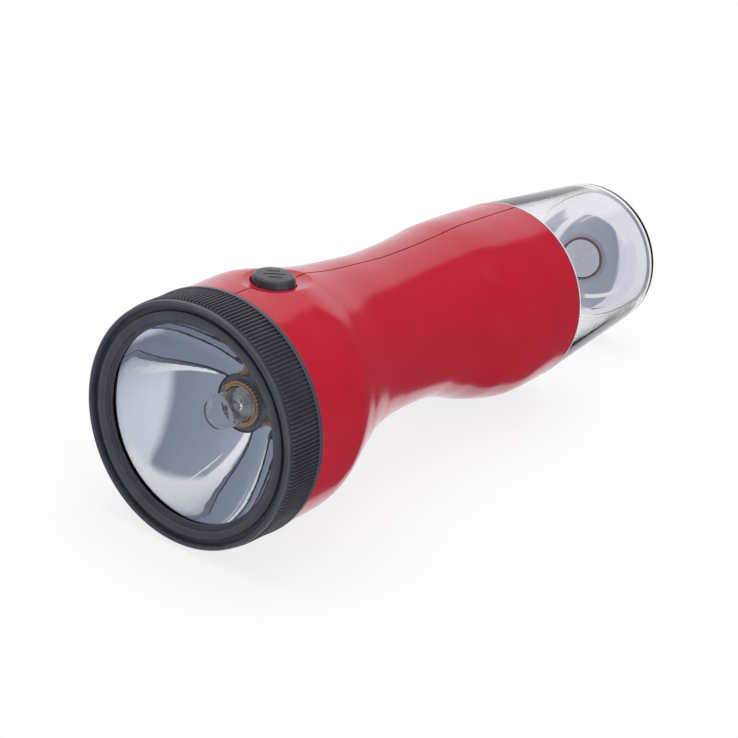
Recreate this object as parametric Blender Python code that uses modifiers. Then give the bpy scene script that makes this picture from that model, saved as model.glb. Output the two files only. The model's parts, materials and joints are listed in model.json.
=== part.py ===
"""Battery torch: a moulded body in two halves, a ribbed screw bezel with lens and reflector at the
head, a push button on top, two large cells inside, and a clear screw cap over a mirror dome and a
small lamp at the tail.

The torch is drawn in its own frame: X to its side, Y up through the button, Z along the beam. A place
along the body is its distance behind the bezel's front, so it stands at Z = -place. One empty lays the
torch down on the bezel's flange and on the swell of the body."""

import math

import bmesh
import bpy
from mathutils import Matrix, Vector

mm = 0.001

# Gaps and cutting
gap = 0.3 * mm                # between pieces that touch
seam_gap = 0.3 * mm           # between the two halves of the body
overrun = 3.0 * mm            # cutters reach this far past a face
bite = 0.6 * mm               # a joined shape sinks this far into the wall that carries it

# Facets round each turned piece
ring_steps = 40
shell_steps = 32
cap_steps = 30
reflector_steps = 28
lens_steps = 28
small_steps = 16
tiny_steps = 6
thread_steps = 20
bore_steps = 30

# Bezel ring
rib_crest_radius = 40.0 * mm
rib_depth = 0.8 * mm
rib_count = 184
rib_seat_drop = 0.25 * mm     # the ring under the ribs lies this far below the bottom of the gaps
flange_rise = 0.2 * mm        # the flange stands this far over the ribs
flange_radius = rib_crest_radius + flange_rise
flange_width = 1.9 * mm
bezel_length = 16.8 * mm
lip_step = 0.4 * mm
lip_radius = rib_crest_radius - lip_step
lip_rounding = 0.6 * mm
lip_flat_radius = lip_radius - lip_rounding
lip_flat_width = 0.9 * mm
lip_width = 1.7 * mm
rib_front_gap = 0.6 * mm      # the dark step between the lip and the ends of the ribs
lip_groove_width = 1.8 * mm
lip_groove_depth = 2.0 * mm
crown_width = 2.9 * mm        # the raised ring inside the groove
crown_drop = 0.7 * mm
crown_round = 0.5 * mm
bezel_wall = 2.1 * mm
bezel_bore_radius = rib_crest_radius - bezel_wall
lens_pocket_step = 1.0 * mm
lens_pocket_radius = bezel_bore_radius - lens_pocket_step
ledge_width = 5.1 * mm
window_radius = lens_pocket_radius - ledge_width
window_well_width = 1.5 * mm
ledge_thickness = 0.8 * mm
ledge_place = 3.3 * mm        # the back of the ledge, where the lens rests
bezel_bore_place = 6.6 * mm

# Lens, gasket and reflector
lens_thickness = 2.0 * mm
gasket_thickness = 1.0 * mm
gasket_width = 2.9 * mm
reflector_flange_thickness = 1.2 * mm
reflector_mouth_margin = 0.8 * mm
reflector_mouth_radius = window_radius + reflector_mouth_margin
reflector_wall = 1.2 * mm
throat_radius = 9.6 * mm
throat_place = 28.0 * mm
throat_neck_length = 3.0 * mm
mirror_points = 5
bulb_dome_points = 4
bulb_dome_inner_points = 3

# Body, along its length
neck_room = 1.9 * mm          # for the ridges between the neck and the bezel's bore
neck_radius = bezel_bore_radius - neck_room
neck_wall = 1.9 * mm
wall = 2.0 * mm
head_step = 0.4 * mm
head_radius = rib_crest_radius - head_step
head_edge = 0.4 * mm
head_end_place = 32.0 * mm
waist_place = 100.0 * mm
waist_radius = 26.4 * mm
waist_rise = 6.1 * mm         # the waist's centre stands this far above the torch's axis
swell_place = 153.0 * mm
swell_radius = 32.3 * mm
body_end_place = 171.5 * mm
body_end_radius = 31.7 * mm
# Shares of the way from one named section to the next, and of the change of radius on it
flare_shares = ((0.0, 0.0), (0.06, 0.015), (0.265, 0.364), (0.485, 0.727), (0.706, 0.917), (0.912, 0.992))
swell_shares = ((0.0, 0.0), (0.17, 0.034), (0.434, 0.322), (0.717, 0.797))
# Shares of the way, and of the waist's rise
flare_rise_shares = ((-0.16, 0.0), (0.0, 0.06), (0.265, 0.51), (0.485, 0.85), (0.706, 1.0), (0.912, 0.96))
swell_rise_shares = ((0.17, 0.9), (0.434, 0.67), (0.717, 0.31), (1.0, 0.02), (1.2, 0.0))
flare_bands = 7
swell_bands = 4
tail_bands = 2
cavity_flare_bands = 4
cavity_swell_bands = 3

# Screw threads: the bezel on the body's neck, the tail cap in the body's end
pitch = 3.2 * mm
thread_base_width = 1.5 * mm
thread_crest_width = 0.8 * mm
neck_thread_height = 1.2 * mm
ring_thread_height = 1.3 * mm
ring_thread_turns = 1.4
ring_thread_margin = 1.0 * mm
neck_thread_turns = 1.9
neck_thread_margin = 1.0 * mm
body_thread_height = 0.8 * mm
body_thread_turns = 1.5
body_thread_margin = 4.6 * mm
cap_thread_height = 1.1 * mm
cap_thread_turns = 1.4
cap_thread_margin = 1.2 * mm
# Part of a half turn that the ridges on the body fill, each side of its middle
thread_seam_share = 0.42

# Inside the halves
web_thickness = 1.5 * mm
cell_radius = 17.1 * mm
cell_length = 61.5 * mm
cell_nub_radius = 4.75 * mm
cell_nub_height = 1.5 * mm
cell_edge = 1.2 * mm
cell_dish_radius = 9.0 * mm
cell_dish_depth = 0.5 * mm
cell_front_place = 43.8 * mm
cradle_web_places = (84.0 * mm, 130.0 * mm)
reflector_web_radius = 21.2 * mm
strip_width = 5.0 * mm
strip_thickness = 0.5 * mm
strip_height = 18.4 * mm      # underside of the long strip, above the axis
strip_room = 0.6 * mm
post_radius = 3.0 * mm
post_centres = (
    (56.0 * mm, 26.2 * mm),
    (126.0 * mm, 25.6 * mm),
    (24.0 * mm, -31.0 * mm),
    (144.0 * mm, -23.5 * mm),
)
peg_radius = 1.2 * mm
peg_length = 4.0 * mm

# Push button and its switch
button_place = 36.6 * mm
button_stand = 1.4 * mm       # the button's top stands this far over the head
button_top_height = head_radius + button_stand
button_top_radius = 6.1 * mm
button_shoulder = 0.5 * mm
button_radius = 7.2 * mm
button_skirt = 5.4 * mm
button_flange_radius = 8.2 * mm
button_flange_thickness = 1.0 * mm
button_travel = 2.5 * mm
stem_radius = 3.0 * mm
stem_length = 5.6 * mm
grip_bar_width = 0.7 * mm
grip_bar_depth = 0.4 * mm
grip_bar_spacing = 2.45 * mm
grip_bar_lengths = (4.0 * mm, 6.8 * mm, 4.0 * mm)
grip_bar_turn = math.radians(45)
scoop_radius = 38.0 * mm
button_show = 3.1 * mm
scoop_floor_height = button_top_height - button_show
scoop_wall = 1.0 * mm
scoop_boss_radius = 12.0 * mm
scoop_boss_depth = 3.9 * mm
scoop_boss_low_height = scoop_floor_height - scoop_boss_depth
switch_width = 15.0 * mm
switch_rise = 2.9 * mm
switch_bottom_height = strip_height + strip_thickness + switch_rise
switch_web_gap = 0.3 * mm
switch_length = 17.6 * mm
spring_seat_drop = 11.6 * mm
spring_seat_height = button_top_height - spring_seat_drop
spring_well_radius = 5.3 * mm
contact_well_radius = 3.9 * mm
contact_well_depth = 3.5 * mm
contact_well_height = spring_seat_height - contact_well_depth
switch_contact_radius = 3.4 * mm
switch_contact_thickness = 0.6 * mm
button_spring_radius = 4.5 * mm
button_spring_wire = 0.7 * mm
button_spring_turns = 3

# Bulb and its holder
bulb_radius = 5.65 * mm
bulb_front_place = 15.0 * mm
bulb_dome_length = 3.0 * mm
bulb_wall = 0.7 * mm
bulb_flange_radius = 6.8 * mm
bulb_flange_thickness = 0.5 * mm
bulb_base_radius = 4.7 * mm
bulb_base_length = 12.2 * mm
bulb_tip_radius = 1.8 * mm
bulb_tip_length = 2.0 * mm
holder_radius = 9.3 * mm
holder_recess_radius = 7.1 * mm
holder_recess_depth = 1.1 * mm
holder_bore_radius = 5.0 * mm
holder_flange_radius = 11.0 * mm
holder_flange_thickness = 1.5 * mm
holder_tail_radius = 7.4 * mm
holder_tail_length = 5.2 * mm
collar_radius = 7.7 * mm
collar_bore_radius = 5.95 * mm
collar_thickness = 1.5 * mm
collar_tooth_count = 28
collar_tooth_depth = 0.35 * mm
filament_wire = 0.3 * mm
filament_half_span = 1.5 * mm
filament_coil_radius = 0.35 * mm
filament_coil_turns = 3
filament_place = 20.5 * mm

# Tail: cup, lamp plate, lamp, springs and contacts
cup_flange_radius = 29.2 * mm
cup_flange_thickness = 1.6 * mm
cup_flange_place = 152.0 * mm
cup_radius = 24.8 * mm
cup_wall = 1.4 * mm
cup_end_thickness = 1.3 * mm
cup_end_place = 172.0 * mm
tail_web_radius = 26.2 * mm
lamp_plate_radius = 24.4 * mm
lamp_plate_thickness = 1.2 * mm
lamp_pip_radius = 0.8 * mm
lamp_pip_height = 0.5 * mm
lamp_pip_ring_radius = 19.0 * mm
lamp_pip_count = 12
lamp_socket_radius = 4.5 * mm
lamp_socket_height = 1.2 * mm
lamp_radius = 2.5 * mm
lamp_flange_radius = 2.9 * mm
lamp_flange_thickness = 1.0 * mm
lamp_length = 8.4 * mm
tail_disc_radius = 20.5 * mm
tail_disc_thickness = 0.5 * mm
tail_spring_wire = 0.9 * mm
tail_spring_inner_radius = 4.5 * mm
tail_spring_outer_radius = 10.0 * mm
tail_spring_turns = 3

# Clear cap, its seal and the mirror dome inside it
cap_neck_radius = 28.2 * mm
cap_neck_wall = 1.6 * mm
cap_neck_length = 13.6 * mm
cap_front_radius = 31.5 * mm
cap_rear_radius = 25.8 * mm
cap_end_place = 230.6 * mm
cap_wall = 1.6 * mm
cap_corner = 2.6 * mm
seal_thickness = 0.9 * mm
seal_place = 169.2 * mm
dome_radius = 23.2 * mm
dome_height = 16.0 * mm
dome_wall = 1.0 * mm
dome_flange_width = 0.6 * mm
dome_points = 5
dome_lift = 1.0 * mm          # the rim stands this far ahead of the cap's end wall

# Places that follow
lens_place = ledge_place + gap
gasket_place = lens_place + lens_thickness + gap
reflector_place = gasket_place + gasket_thickness + gap
neck_place = reflector_place + reflector_flange_thickness + gap
shoulder_place = bezel_length + gap
holder_place = throat_place + gap
cap_shoulder_place = body_end_place + gap
bore_radius = body_end_radius - wall
cell_rear_place = cell_front_place + cell_length + gap
cell_end_place = cell_rear_place + cell_length
disc_place = cup_end_place - gap - tail_disc_thickness
lamp_plate_place = cup_end_place + cup_end_thickness + gap
dome_rim_place = cap_end_place - cap_wall - dome_lift
cradle_radius = cell_radius + gap
front_web_place = button_place + switch_length / 2 + switch_web_gap
reflector_web_place = button_place - switch_length / 2 - switch_web_gap - web_thickness


def smooth_value(points, place):
    """The value at a place on a smooth curve through (place, value) points that never overshoots."""
    if place <= points[0][0]:
        return points[0][1]
    if place >= points[-1][0]:
        return points[-1][1]
    slopes = [(b[1] - a[1]) / (b[0] - a[0]) for a, b in zip(points, points[1:])]
    tangents = [0.0]
    for before, after in zip(slopes, slopes[1:]):
        same_way = before * after > 0
        tangents.append(2 * before * after / (before + after) if same_way else 0.0)
    tangents.append(0.0)
    i = max(k for k in range(len(slopes)) if points[k][0] <= place)
    (start, low), (end, high) = points[i], points[i + 1]
    run = end - start
    t = (place - start) / run
    return (
        (2 * t**3 - 3 * t**2 + 1) * low
        + (t**3 - 2 * t**2 + t) * run * tangents[i]
        + (3 * t**2 - 2 * t**3) * high
        + (t**3 - t**2) * run * tangents[i + 1]
    )


flare_run = waist_place - head_end_place
swell_run = swell_place - waist_place
radius_points = (
    [
        (head_end_place + a * flare_run, head_radius + b * (waist_radius - head_radius))
        for a, b in flare_shares
    ]
    + [
        (waist_place + a * swell_run, waist_radius + b * (swell_radius - waist_radius))
        for a, b in swell_shares
    ]
    + [(swell_place, swell_radius), (body_end_place, body_end_radius)]
)
rise_points = [(head_end_place + a * flare_run, b * waist_rise) for a, b in flare_rise_shares] + [
    (waist_place + a * swell_run, b * waist_rise) for a, b in swell_rise_shares
]


def body_radius(place):
    return smooth_value(radius_points, place)


def body_rise(place):
    return smooth_value(rise_points, place)


def cap_radius(place):
    along = (place - cap_shoulder_place) / (cap_end_place - cap_shoulder_place)
    return cap_front_radius + along * (cap_rear_radius - cap_front_radius)


def spaced(start, end, bands):
    """Even places from start up to, but not at, end."""
    return [start + (end - start) * k / bands for k in range(bands)]


# Scene, collections and materials
for old in list(bpy.data.objects):
    bpy.data.objects.remove(old)
torch = bpy.data.collections.new("torch")
cutters = bpy.data.collections.new("torch_cutters")
cutters.hide_render = True
for collection in (torch, cutters):
    bpy.context.scene.collection.children.link(collection)


def finish(name, colour, roughness, metallic=0.0, alpha=1.0):
    made = bpy.data.materials.new(name)
    made.use_nodes = True
    shader = made.node_tree.nodes["Principled BSDF"]
    shader.inputs["Base Color"].default_value = (*colour, 1.0)
    shader.inputs["Roughness"].default_value = roughness
    shader.inputs["Metallic"].default_value = metallic
    shader.inputs["Alpha"].default_value = alpha
    made.diffuse_color = (*colour, alpha)
    return made


finishes = {
    "left_shell": finish("red_polypropylene_left", (0.47, 0.02, 0.03), 0.3),
    "right_shell": finish("red_polypropylene_right", (0.44, 0.02, 0.03), 0.3),
    "bezel_ring": finish("black_ring_plastic", (0.04, 0.04, 0.05), 0.45),
    "front_lens": finish("clear_lens", (0.9, 0.93, 0.95), 0.05, alpha=0.3),
    "lens_gasket": finish("black_gasket_rubber", (0.02, 0.02, 0.02), 0.8),
    "reflector": finish("mirror_coat", (0.85, 0.86, 0.88), 0.05, 1.0),
    "bulb_glass": finish("bulb_glass", (0.95, 0.96, 1.0), 0.02, alpha=0.3),
    "bulb_base": finish("tinned_brass", (0.7, 0.68, 0.6), 0.3, 1.0),
    "bulb_filament": finish("tungsten", (0.5, 0.35, 0.3), 0.5, 1.0),
    "bulb_holder": finish("grey_holder_plastic", (0.09, 0.1, 0.11), 0.5),
    "bulb_collar": finish("collar_brass", (0.75, 0.5, 0.25), 0.3, 1.0),
    "push_button": finish("black_button_plastic", (0.06, 0.06, 0.07), 0.35),
    "button_spring": finish("button_spring_steel", (0.6, 0.6, 0.62), 0.3, 1.0),
    "switch_housing": finish("white_nylon", (0.8, 0.8, 0.78), 0.5),
    "switch_contact": finish("switch_brass", (0.75, 0.6, 0.3), 0.35, 1.0),
    "bulb_contact_strip": finish("bulb_strip_brass", (0.75, 0.6, 0.3), 0.35, 1.0),
    "tail_contact_strip": finish("tail_strip_brass", (0.72, 0.58, 0.3), 0.35, 1.0),
    "battery_front": finish("front_cell_jacket", (0.1, 0.25, 0.4), 0.4),
    "battery_rear": finish("rear_cell_jacket", (0.12, 0.3, 0.45), 0.4),
    "tail_spring": finish("tail_spring_steel", (0.6, 0.6, 0.62), 0.3, 1.0),
    "tail_contact_disc": finish("tail_disc_brass", (0.7, 0.56, 0.28), 0.35, 1.0),
    "bulkhead_cup": finish("grey_cup_plastic", (0.3, 0.3, 0.32), 0.5),
    "lamp_plate": finish("white_plate_plastic", (0.8, 0.8, 0.8), 0.4),
    "rear_lamp": finish("clear_lamp_epoxy", (0.9, 0.95, 1.0), 0.05, alpha=0.5),
    "dome_reflector": finish("dome_mirror_coat", (0.84, 0.85, 0.88), 0.05, 1.0),
    "rear_cap": finish("clear_cap_plastic", (0.9, 0.92, 0.96), 0.05, alpha=0.3),
    "cap_seal": finish("black_seal_rubber", (0.02, 0.02, 0.02), 0.8),
}


def place_empty(name, parent, location=(0, 0, 0), tilt=0.0):
    empty = bpy.data.objects.new(name, None)
    torch.objects.link(empty)
    empty.parent = parent
    empty.location = location
    empty.rotation_euler = (tilt, 0, 0)
    return empty


def new_object(name, mesh, parent=None, location=(0, 0, 0), tilt=0.0, collection=torch):
    made = bpy.data.objects.new(name, mesh)
    collection.objects.link(made)
    made.parent = parent or rest_pose
    made.location = location
    made.rotation_euler = (tilt, 0, 0)
    if collection is cutters:
        made.hide_render = True
        made.display_type = "WIRE"
    return made


def evaluated_mesh(obj):
    """The object's mesh with its modifiers worked in, and with loose caps joined to their sides."""
    bpy.context.view_layer.update()
    graph = bpy.context.evaluated_depsgraph_get()
    mesh = bpy.data.meshes.new_from_object(obj.evaluated_get(graph))
    work = bmesh.new()
    work.from_mesh(mesh)
    bmesh.ops.remove_doubles(work, verts=work.verts, dist=weld)
    work.to_mesh(mesh)
    work.free()
    return mesh


weld = 0.001 * mm
sharp_angle = math.radians(32)


def settle(obj):
    """Works the modifiers in, gives the piece its finish, and shades it smooth between its edges."""
    mesh = evaluated_mesh(obj)
    if obj.type == "CURVE":
        home = obj.users_collection[0]
        solid = new_object("settled", mesh, obj.parent, obj.location, obj.rotation_euler.x, home)
        name = obj.name
        bpy.data.objects.remove(obj)
        obj = solid
        obj.name = name
    else:
        obj.modifiers.clear()
        obj.data = mesh
    mesh.shade_smooth()
    mesh.set_sharp_from_angle(angle=sharp_angle)
    if obj.name in finishes:
        mesh.materials.clear()
        mesh.materials.append(finishes[obj.name])
    return obj


def combine(obj, other, operation):
    step = obj.modifiers.new(f"{operation.lower()}_{other.name}", "BOOLEAN")
    step.object = other
    step.operation = operation
    step.solver = "EXACT"
    return obj


def turned(name, profile, steps, parent=None, location=(0, 0, 0), tilt=0.0, collection=torch):
    """A profile of (radius, place) points, down the outside and back up the inside, turned about Z.

    The first facet is set so that a flat, and not an edge, faces straight down."""
    half_step = math.pi / steps
    points = [(r * math.cos(half_step), r * math.sin(half_step), -place) for r, place in profile]
    closed = profile[0][0] > 0
    edges = [(k, k + 1) for k in range(len(points) - 1)] + ([(len(points) - 1, 0)] if closed else [])
    mesh = bpy.data.meshes.new(name)
    mesh.from_pydata(points, edges, [])
    made = new_object(name, mesh, parent, location, tilt, collection)
    screw = made.modifiers.new("turn", "SCREW")
    screw.axis = "Z"
    screw.steps = screw.render_steps = steps
    screw.use_merge_vertices = True
    screw.merge_threshold = weld
    return made


def loft(name, loops, parent=None, collection=torch):
    """A closed solid through loops of equally many points, with flat ends."""
    work = bmesh.new()
    rows = [[work.verts.new(point) for point in loop] for loop in loops]
    count = len(rows[0])
    for row, after in zip(rows, rows[1:]):
        for k in range(count):
            work.faces.new((row[k], row[(k + 1) % count], after[(k + 1) % count], after[k]))
    work.faces.new(rows[0])
    work.faces.new(list(reversed(rows[-1])))
    bmesh.ops.recalc_face_normals(work, faces=work.faces)
    mesh = bpy.data.meshes.new(name)
    work.to_mesh(mesh)
    work.free()
    return new_object(name, mesh, parent, collection=collection)


def round_loop(radius, place, rise=0.0, steps=shell_steps):
    """A ring of points about the axis or above it, with a flat facet at the top and the bottom."""
    angles = [(k + 0.5) * 2 * math.pi / steps for k in range(steps)]
    return [(radius * math.sin(a), rise + radius * math.cos(a), -place) for a in angles]


def cylinder(name, radius, start, end, steps=tiny_steps, collection=cutters, parent=None):
    """A cylinder between two points."""
    start, end = Vector(start), Vector(end)
    work = bmesh.new()
    bmesh.ops.create_cone(
        work, cap_ends=True, segments=steps, radius1=radius, radius2=radius, depth=(end - start).length
    )
    turn = (end - start).to_track_quat("Z", "Y").to_matrix().to_4x4()
    bmesh.ops.transform(work, matrix=Matrix.Translation((start + end) / 2) @ turn, verts=work.verts)
    mesh = bpy.data.meshes.new(name)
    work.to_mesh(mesh)
    work.free()
    return new_object(name, mesh, parent, collection=collection)


def box(name, low, high, collection=cutters, parent=None):
    low, high = Vector(low), Vector(high)
    work = bmesh.new()
    bmesh.ops.create_cube(work, size=1)
    size = Matrix.Diagonal((*(high - low), 1))
    bmesh.ops.transform(work, matrix=Matrix.Translation((low + high) / 2) @ size, verts=work.verts)
    mesh = bpy.data.meshes.new(name)
    work.to_mesh(mesh)
    work.free()
    return new_object(name, mesh, parent, collection=collection)


def flat_outline(name, outlines, thickness, parent=None, collection=torch):
    """Flat outlines in the XY plane, each a list of points, filled and extruded along Z."""
    shape = bpy.data.curves.new(name, "CURVE")
    shape.dimensions = "2D"
    shape.fill_mode = "BOTH"
    shape.extrude = thickness / 2
    for outline in outlines:
        spline = shape.splines.new("POLY")
        spline.points.add(len(outline) - 1)
        for point, (x, y) in zip(spline.points, outline):
            point.co = (x, y, 0, 1)
        spline.use_cyclic_u = True
    return settle(new_object(name, shape, parent, collection=collection))


def wire(name, points, thickness, parent=None, location=(0, 0, 0)):
    """A round wire through points, with closed ends."""
    shape = bpy.data.curves.new(name, "CURVE")
    shape.dimensions = "3D"
    shape.bevel_depth = thickness / 2
    shape.bevel_resolution = wire_bevel
    shape.use_fill_caps = True
    spline = shape.splines.new("POLY")
    spline.points.add(len(points) - 1)
    for point, place in zip(spline.points, points):
        point.co = (*place, 1)
    return settle(new_object(name, shape, parent, location))


wire_bevel = 1


def quarter_turn(steps):
    """Angles from nothing to a quarter turn."""
    return [math.pi / 2 * k / steps for k in range(steps + 1)]


def moved(obj, place):
    """Shifts the mesh itself along the axis, so that the object's origin stays on the torch's axis."""
    obj.data.transform(Matrix.Translation((0, 0, -place)))
    return obj


def helical_ridges(name, root, crest, spans, steps, sunk):
    """Right-hand ridges: each span is (start turn, end turn, place at turn 0). Each end fades into the
    wall, whose surface is at the root radius."""
    work = bmesh.new()
    into_wall = math.copysign(sunk, root - crest)
    for start, end, place in spans:
        count = max(4, round((end - start) * steps))
        rows = []
        for k in range(count + 1):
            turn = start + (end - start) * k / count
            angle = turn * 2 * math.pi
            middle = -place + pitch * turn
            fading = k in (0, count)
            top = root + into_wall / 3 if fading else crest
            outline = (
                (root + into_wall, middle - thread_base_width / 2),
                (top, middle - thread_crest_width / 2),
                (top, middle + thread_crest_width / 2),
                (root + into_wall, middle + thread_base_width / 2),
            )
            rows.append(
                [work.verts.new((r * math.cos(angle), r * math.sin(angle), z)) for r, z in outline]
            )
        for row, after in zip(rows, rows[1:]):
            for j in range(4):
                work.faces.new((row[j], row[(j + 1) % 4], after[(j + 1) % 4], after[j]))
        work.faces.new(rows[0])
        work.faces.new(list(reversed(rows[-1])))
    bmesh.ops.recalc_face_normals(work, faces=work.faces)
    mesh = bpy.data.meshes.new(name)
    work.to_mesh(mesh)
    work.free()
    return new_object(name, mesh, collection=cutters)


def broken_spans(turns, front_place):
    """Spans of a ridge that starts at front_place and stops short of the seam at every half turn."""
    spans = []
    half = 0.5
    for k in range(int(turns / half)):
        middle = -(k + half) * half
        reach = half * thread_seam_share
        spans.append((middle - reach, middle + reach, front_place))
    return spans


# The torch lies on the flange of its bezel and on the swell of its body
def flat_low(radius, steps):
    """How far a polygon with this corner radius reaches down where it lies on a flat."""
    return radius * math.cos(math.pi / steps)


flange_foot_place = bezel_length - head_edge
flange_foot = flat_low(flange_radius, ring_steps)
rest_places = spaced(waist_place, body_end_place, swell_bands * 8)
rest_slope = min(
    (flange_foot - flat_low(body_radius(place), shell_steps) + body_rise(place))
    / (place - flange_foot_place)
    for place in rest_places
)
rest_tilt = math.atan(rest_slope)
axis_height = flange_foot * math.cos(rest_tilt) + flange_foot_place * math.sin(rest_tilt)
outer_points = [
    (lip_flat_radius, 0.0),
    (lip_radius, lip_width),
    (cap_radius(cap_end_place), cap_end_place - cap_corner),
    (cap_radius(cap_end_place) - cap_corner, cap_end_place),
]
reach_back = max(r * math.sin(rest_tilt) + place * math.cos(rest_tilt) for r, place in outer_points)
reach_front = min(-r * math.sin(rest_tilt) + place * math.cos(rest_tilt) for r, place in outer_points)
rest_pose = place_empty(
    "rest_pose", None, (0, -(reach_back + reach_front) / 2, axis_height), math.pi / 2 - rest_tilt
)
bezel_axis = place_empty("bezel_axis", rest_pose)
cap_axis = place_empty("cap_axis", rest_pose)
button_axis = place_empty("button_axis", rest_pose, (0, 0, -button_place))


# Body halves
def build_shells():
    def bands(flare, swell):
        return spaced(head_end_place, waist_place, flare) + spaced(waist_place, swell_place, swell)

    outer = [
        round_loop(neck_radius, neck_place),
        round_loop(neck_radius, shoulder_place),
        round_loop(head_radius - head_edge, shoulder_place),
        round_loop(head_radius, shoulder_place + head_edge),
    ]
    tail_places = spaced(swell_place, body_end_place, tail_bands) + [body_end_place]
    for place in bands(flare_bands, swell_bands) + tail_places:
        outer.append(round_loop(body_radius(place), place, body_rise(place)))
    body = loft("body_outer", outer, collection=cutters)

    neck_bore = neck_radius - neck_wall
    inner = [
        round_loop(neck_bore, neck_place - overrun),
        round_loop(neck_bore, shoulder_place + wall),
        round_loop(head_radius - wall, shoulder_place + wall + (head_radius - wall - neck_bore)),
    ]
    for place in bands(cavity_flare_bands, cavity_swell_bands):
        inner.append(round_loop(body_radius(place) - wall, place, body_rise(place)))
    inner.append(round_loop(bore_radius, swell_place))
    inner.append(round_loop(bore_radius, body_end_place + overrun))
    combine(body, loft("body_cavity", inner, collection=cutters), "DIFFERENCE")

    # Webs that carry the cells, the switch and the tail cup
    tail_webs = (cup_flange_place - gap - web_thickness, cup_flange_place + cup_flange_thickness + gap)
    webs = [(reflector_web_place, reflector_web_radius), (front_web_place, cradle_radius)]
    webs += [(place, cradle_radius) for place in cradle_web_places]
    webs += [(place, tail_web_radius) for place in tail_webs]
    for number, (place, hole) in enumerate(webs):
        end = place + web_thickness
        middle = place + web_thickness / 2
        rim = body_radius(middle) - wall + bite
        solid = loft(
            f"web_{number}",
            [round_loop(rim, place, body_rise(middle)), round_loop(rim, end, body_rise(middle))],
            collection=cutters,
        )
        bore_start, bore_end = (0, 0, overrun - place), (0, 0, -end - overrun)
        bore = cylinder(f"web_bore_{number}", hole, bore_start, bore_end, bore_steps)
        combine(body, settle(combine(solid, bore, "DIFFERENCE")), "UNION")

    # Posts with pegs hold the halves in line; each ends inside the wall
    for number, (place, height) in enumerate(post_centres):
        reach = body_radius(place)
        post = cylinder(f"post_{number}", post_radius, (-reach, height, -place), (reach, height, -place))
        ends = [place + post_radius * 2 * part for part in (-1, 0, 1)]
        limit = loft(
            f"post_limit_{number}",
            [round_loop(body_radius(end) - wall / 2, end, body_rise(end)) for end in ends],
            collection=cutters,
        )
        combine(body, settle(combine(post, limit, "INTERSECT")), "UNION")

    neck_spans = broken_spans(neck_thread_turns, neck_place + neck_thread_margin)
    combine(
        body,
        helical_ridges(
            "neck_thread", neck_radius, neck_radius + neck_thread_height, neck_spans, thread_steps, bite
        ),
        "UNION",
    )
    body_spans = broken_spans(
        body_thread_turns, body_end_place - body_thread_margin - body_thread_turns * pitch
    )
    combine(
        body,
        helical_ridges(
            "body_thread", bore_radius, bore_radius - body_thread_height, body_spans, thread_steps, bite
        ),
        "UNION",
    )

    # Dished place for the thumb, the button's hole and the room for the contact strip
    work = bmesh.new()
    bmesh.ops.create_uvsphere(work, u_segments=shell_steps, v_segments=shell_steps, radius=scoop_radius)
    mesh = bpy.data.meshes.new("scoop")
    work.to_mesh(mesh)
    work.free()
    scoop = new_object("scoop", mesh, collection=cutters)
    scoop.data.transform(Matrix.Translation((0, scoop_floor_height + scoop_radius, -button_place)))
    boss = cylinder(
        "scoop_boss",
        scoop_boss_radius,
        (0, scoop_boss_low_height, -button_place),
        (0, scoop_floor_height + bite, -button_place),
        small_steps,
    )
    combine(body, boss, "UNION")
    combine(body, scoop, "DIFFERENCE")
    pocket = cylinder(
        "button_pocket",
        button_flange_radius + gap,
        (0, spring_seat_height, -button_place),
        (0, scoop_floor_height - scoop_wall, -button_place),
        small_steps,
    )
    combine(body, pocket, "DIFFERENCE")
    hole = cylinder(
        "button_hole",
        button_radius + gap,
        (0, spring_seat_height + overrun, -button_place),
        (0, button_top_height + overrun, -button_place),
        small_steps,
    )
    combine(body, hole, "DIFFERENCE")
    slot = box(
        "strip_slot",
        (-strip_width / 2 - strip_room, cradle_radius - overrun, -cup_flange_place),
        (strip_width / 2 + strip_room, switch_bottom_height + strip_room, -button_place),
    )
    combine(body, slot, "DIFFERENCE")
    settle(body)

    half_width = 2 * head_radius
    for name, side in (("left_shell", 1), ("right_shell", -1)):
        near, far = side * seam_gap / 2, side * half_width
        keep = box(
            f"{name}_side",
            (min(near, far), -half_width, -body_end_place - overrun),
            (max(near, far), half_width, overrun),
        )
        half = new_object(name, body.data.copy(), rest_pose)
        combine(half, keep, "INTERSECT")
        for number, (place, height) in enumerate(post_centres):
            if side > 0:
                peg = cylinder(
                    f"peg_{number}",
                    peg_radius,
                    (-peg_length, height, -place),
                    (post_radius, height, -place),
                )
                combine(half, peg, "UNION")
            else:
                socket = cylinder(
                    f"socket_{number}",
                    peg_radius + gap,
                    (-peg_length - gap - gap, height, -place),
                    (post_radius, height, -place),
                )
                combine(half, socket, "DIFFERENCE")
        settle(half)


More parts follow.
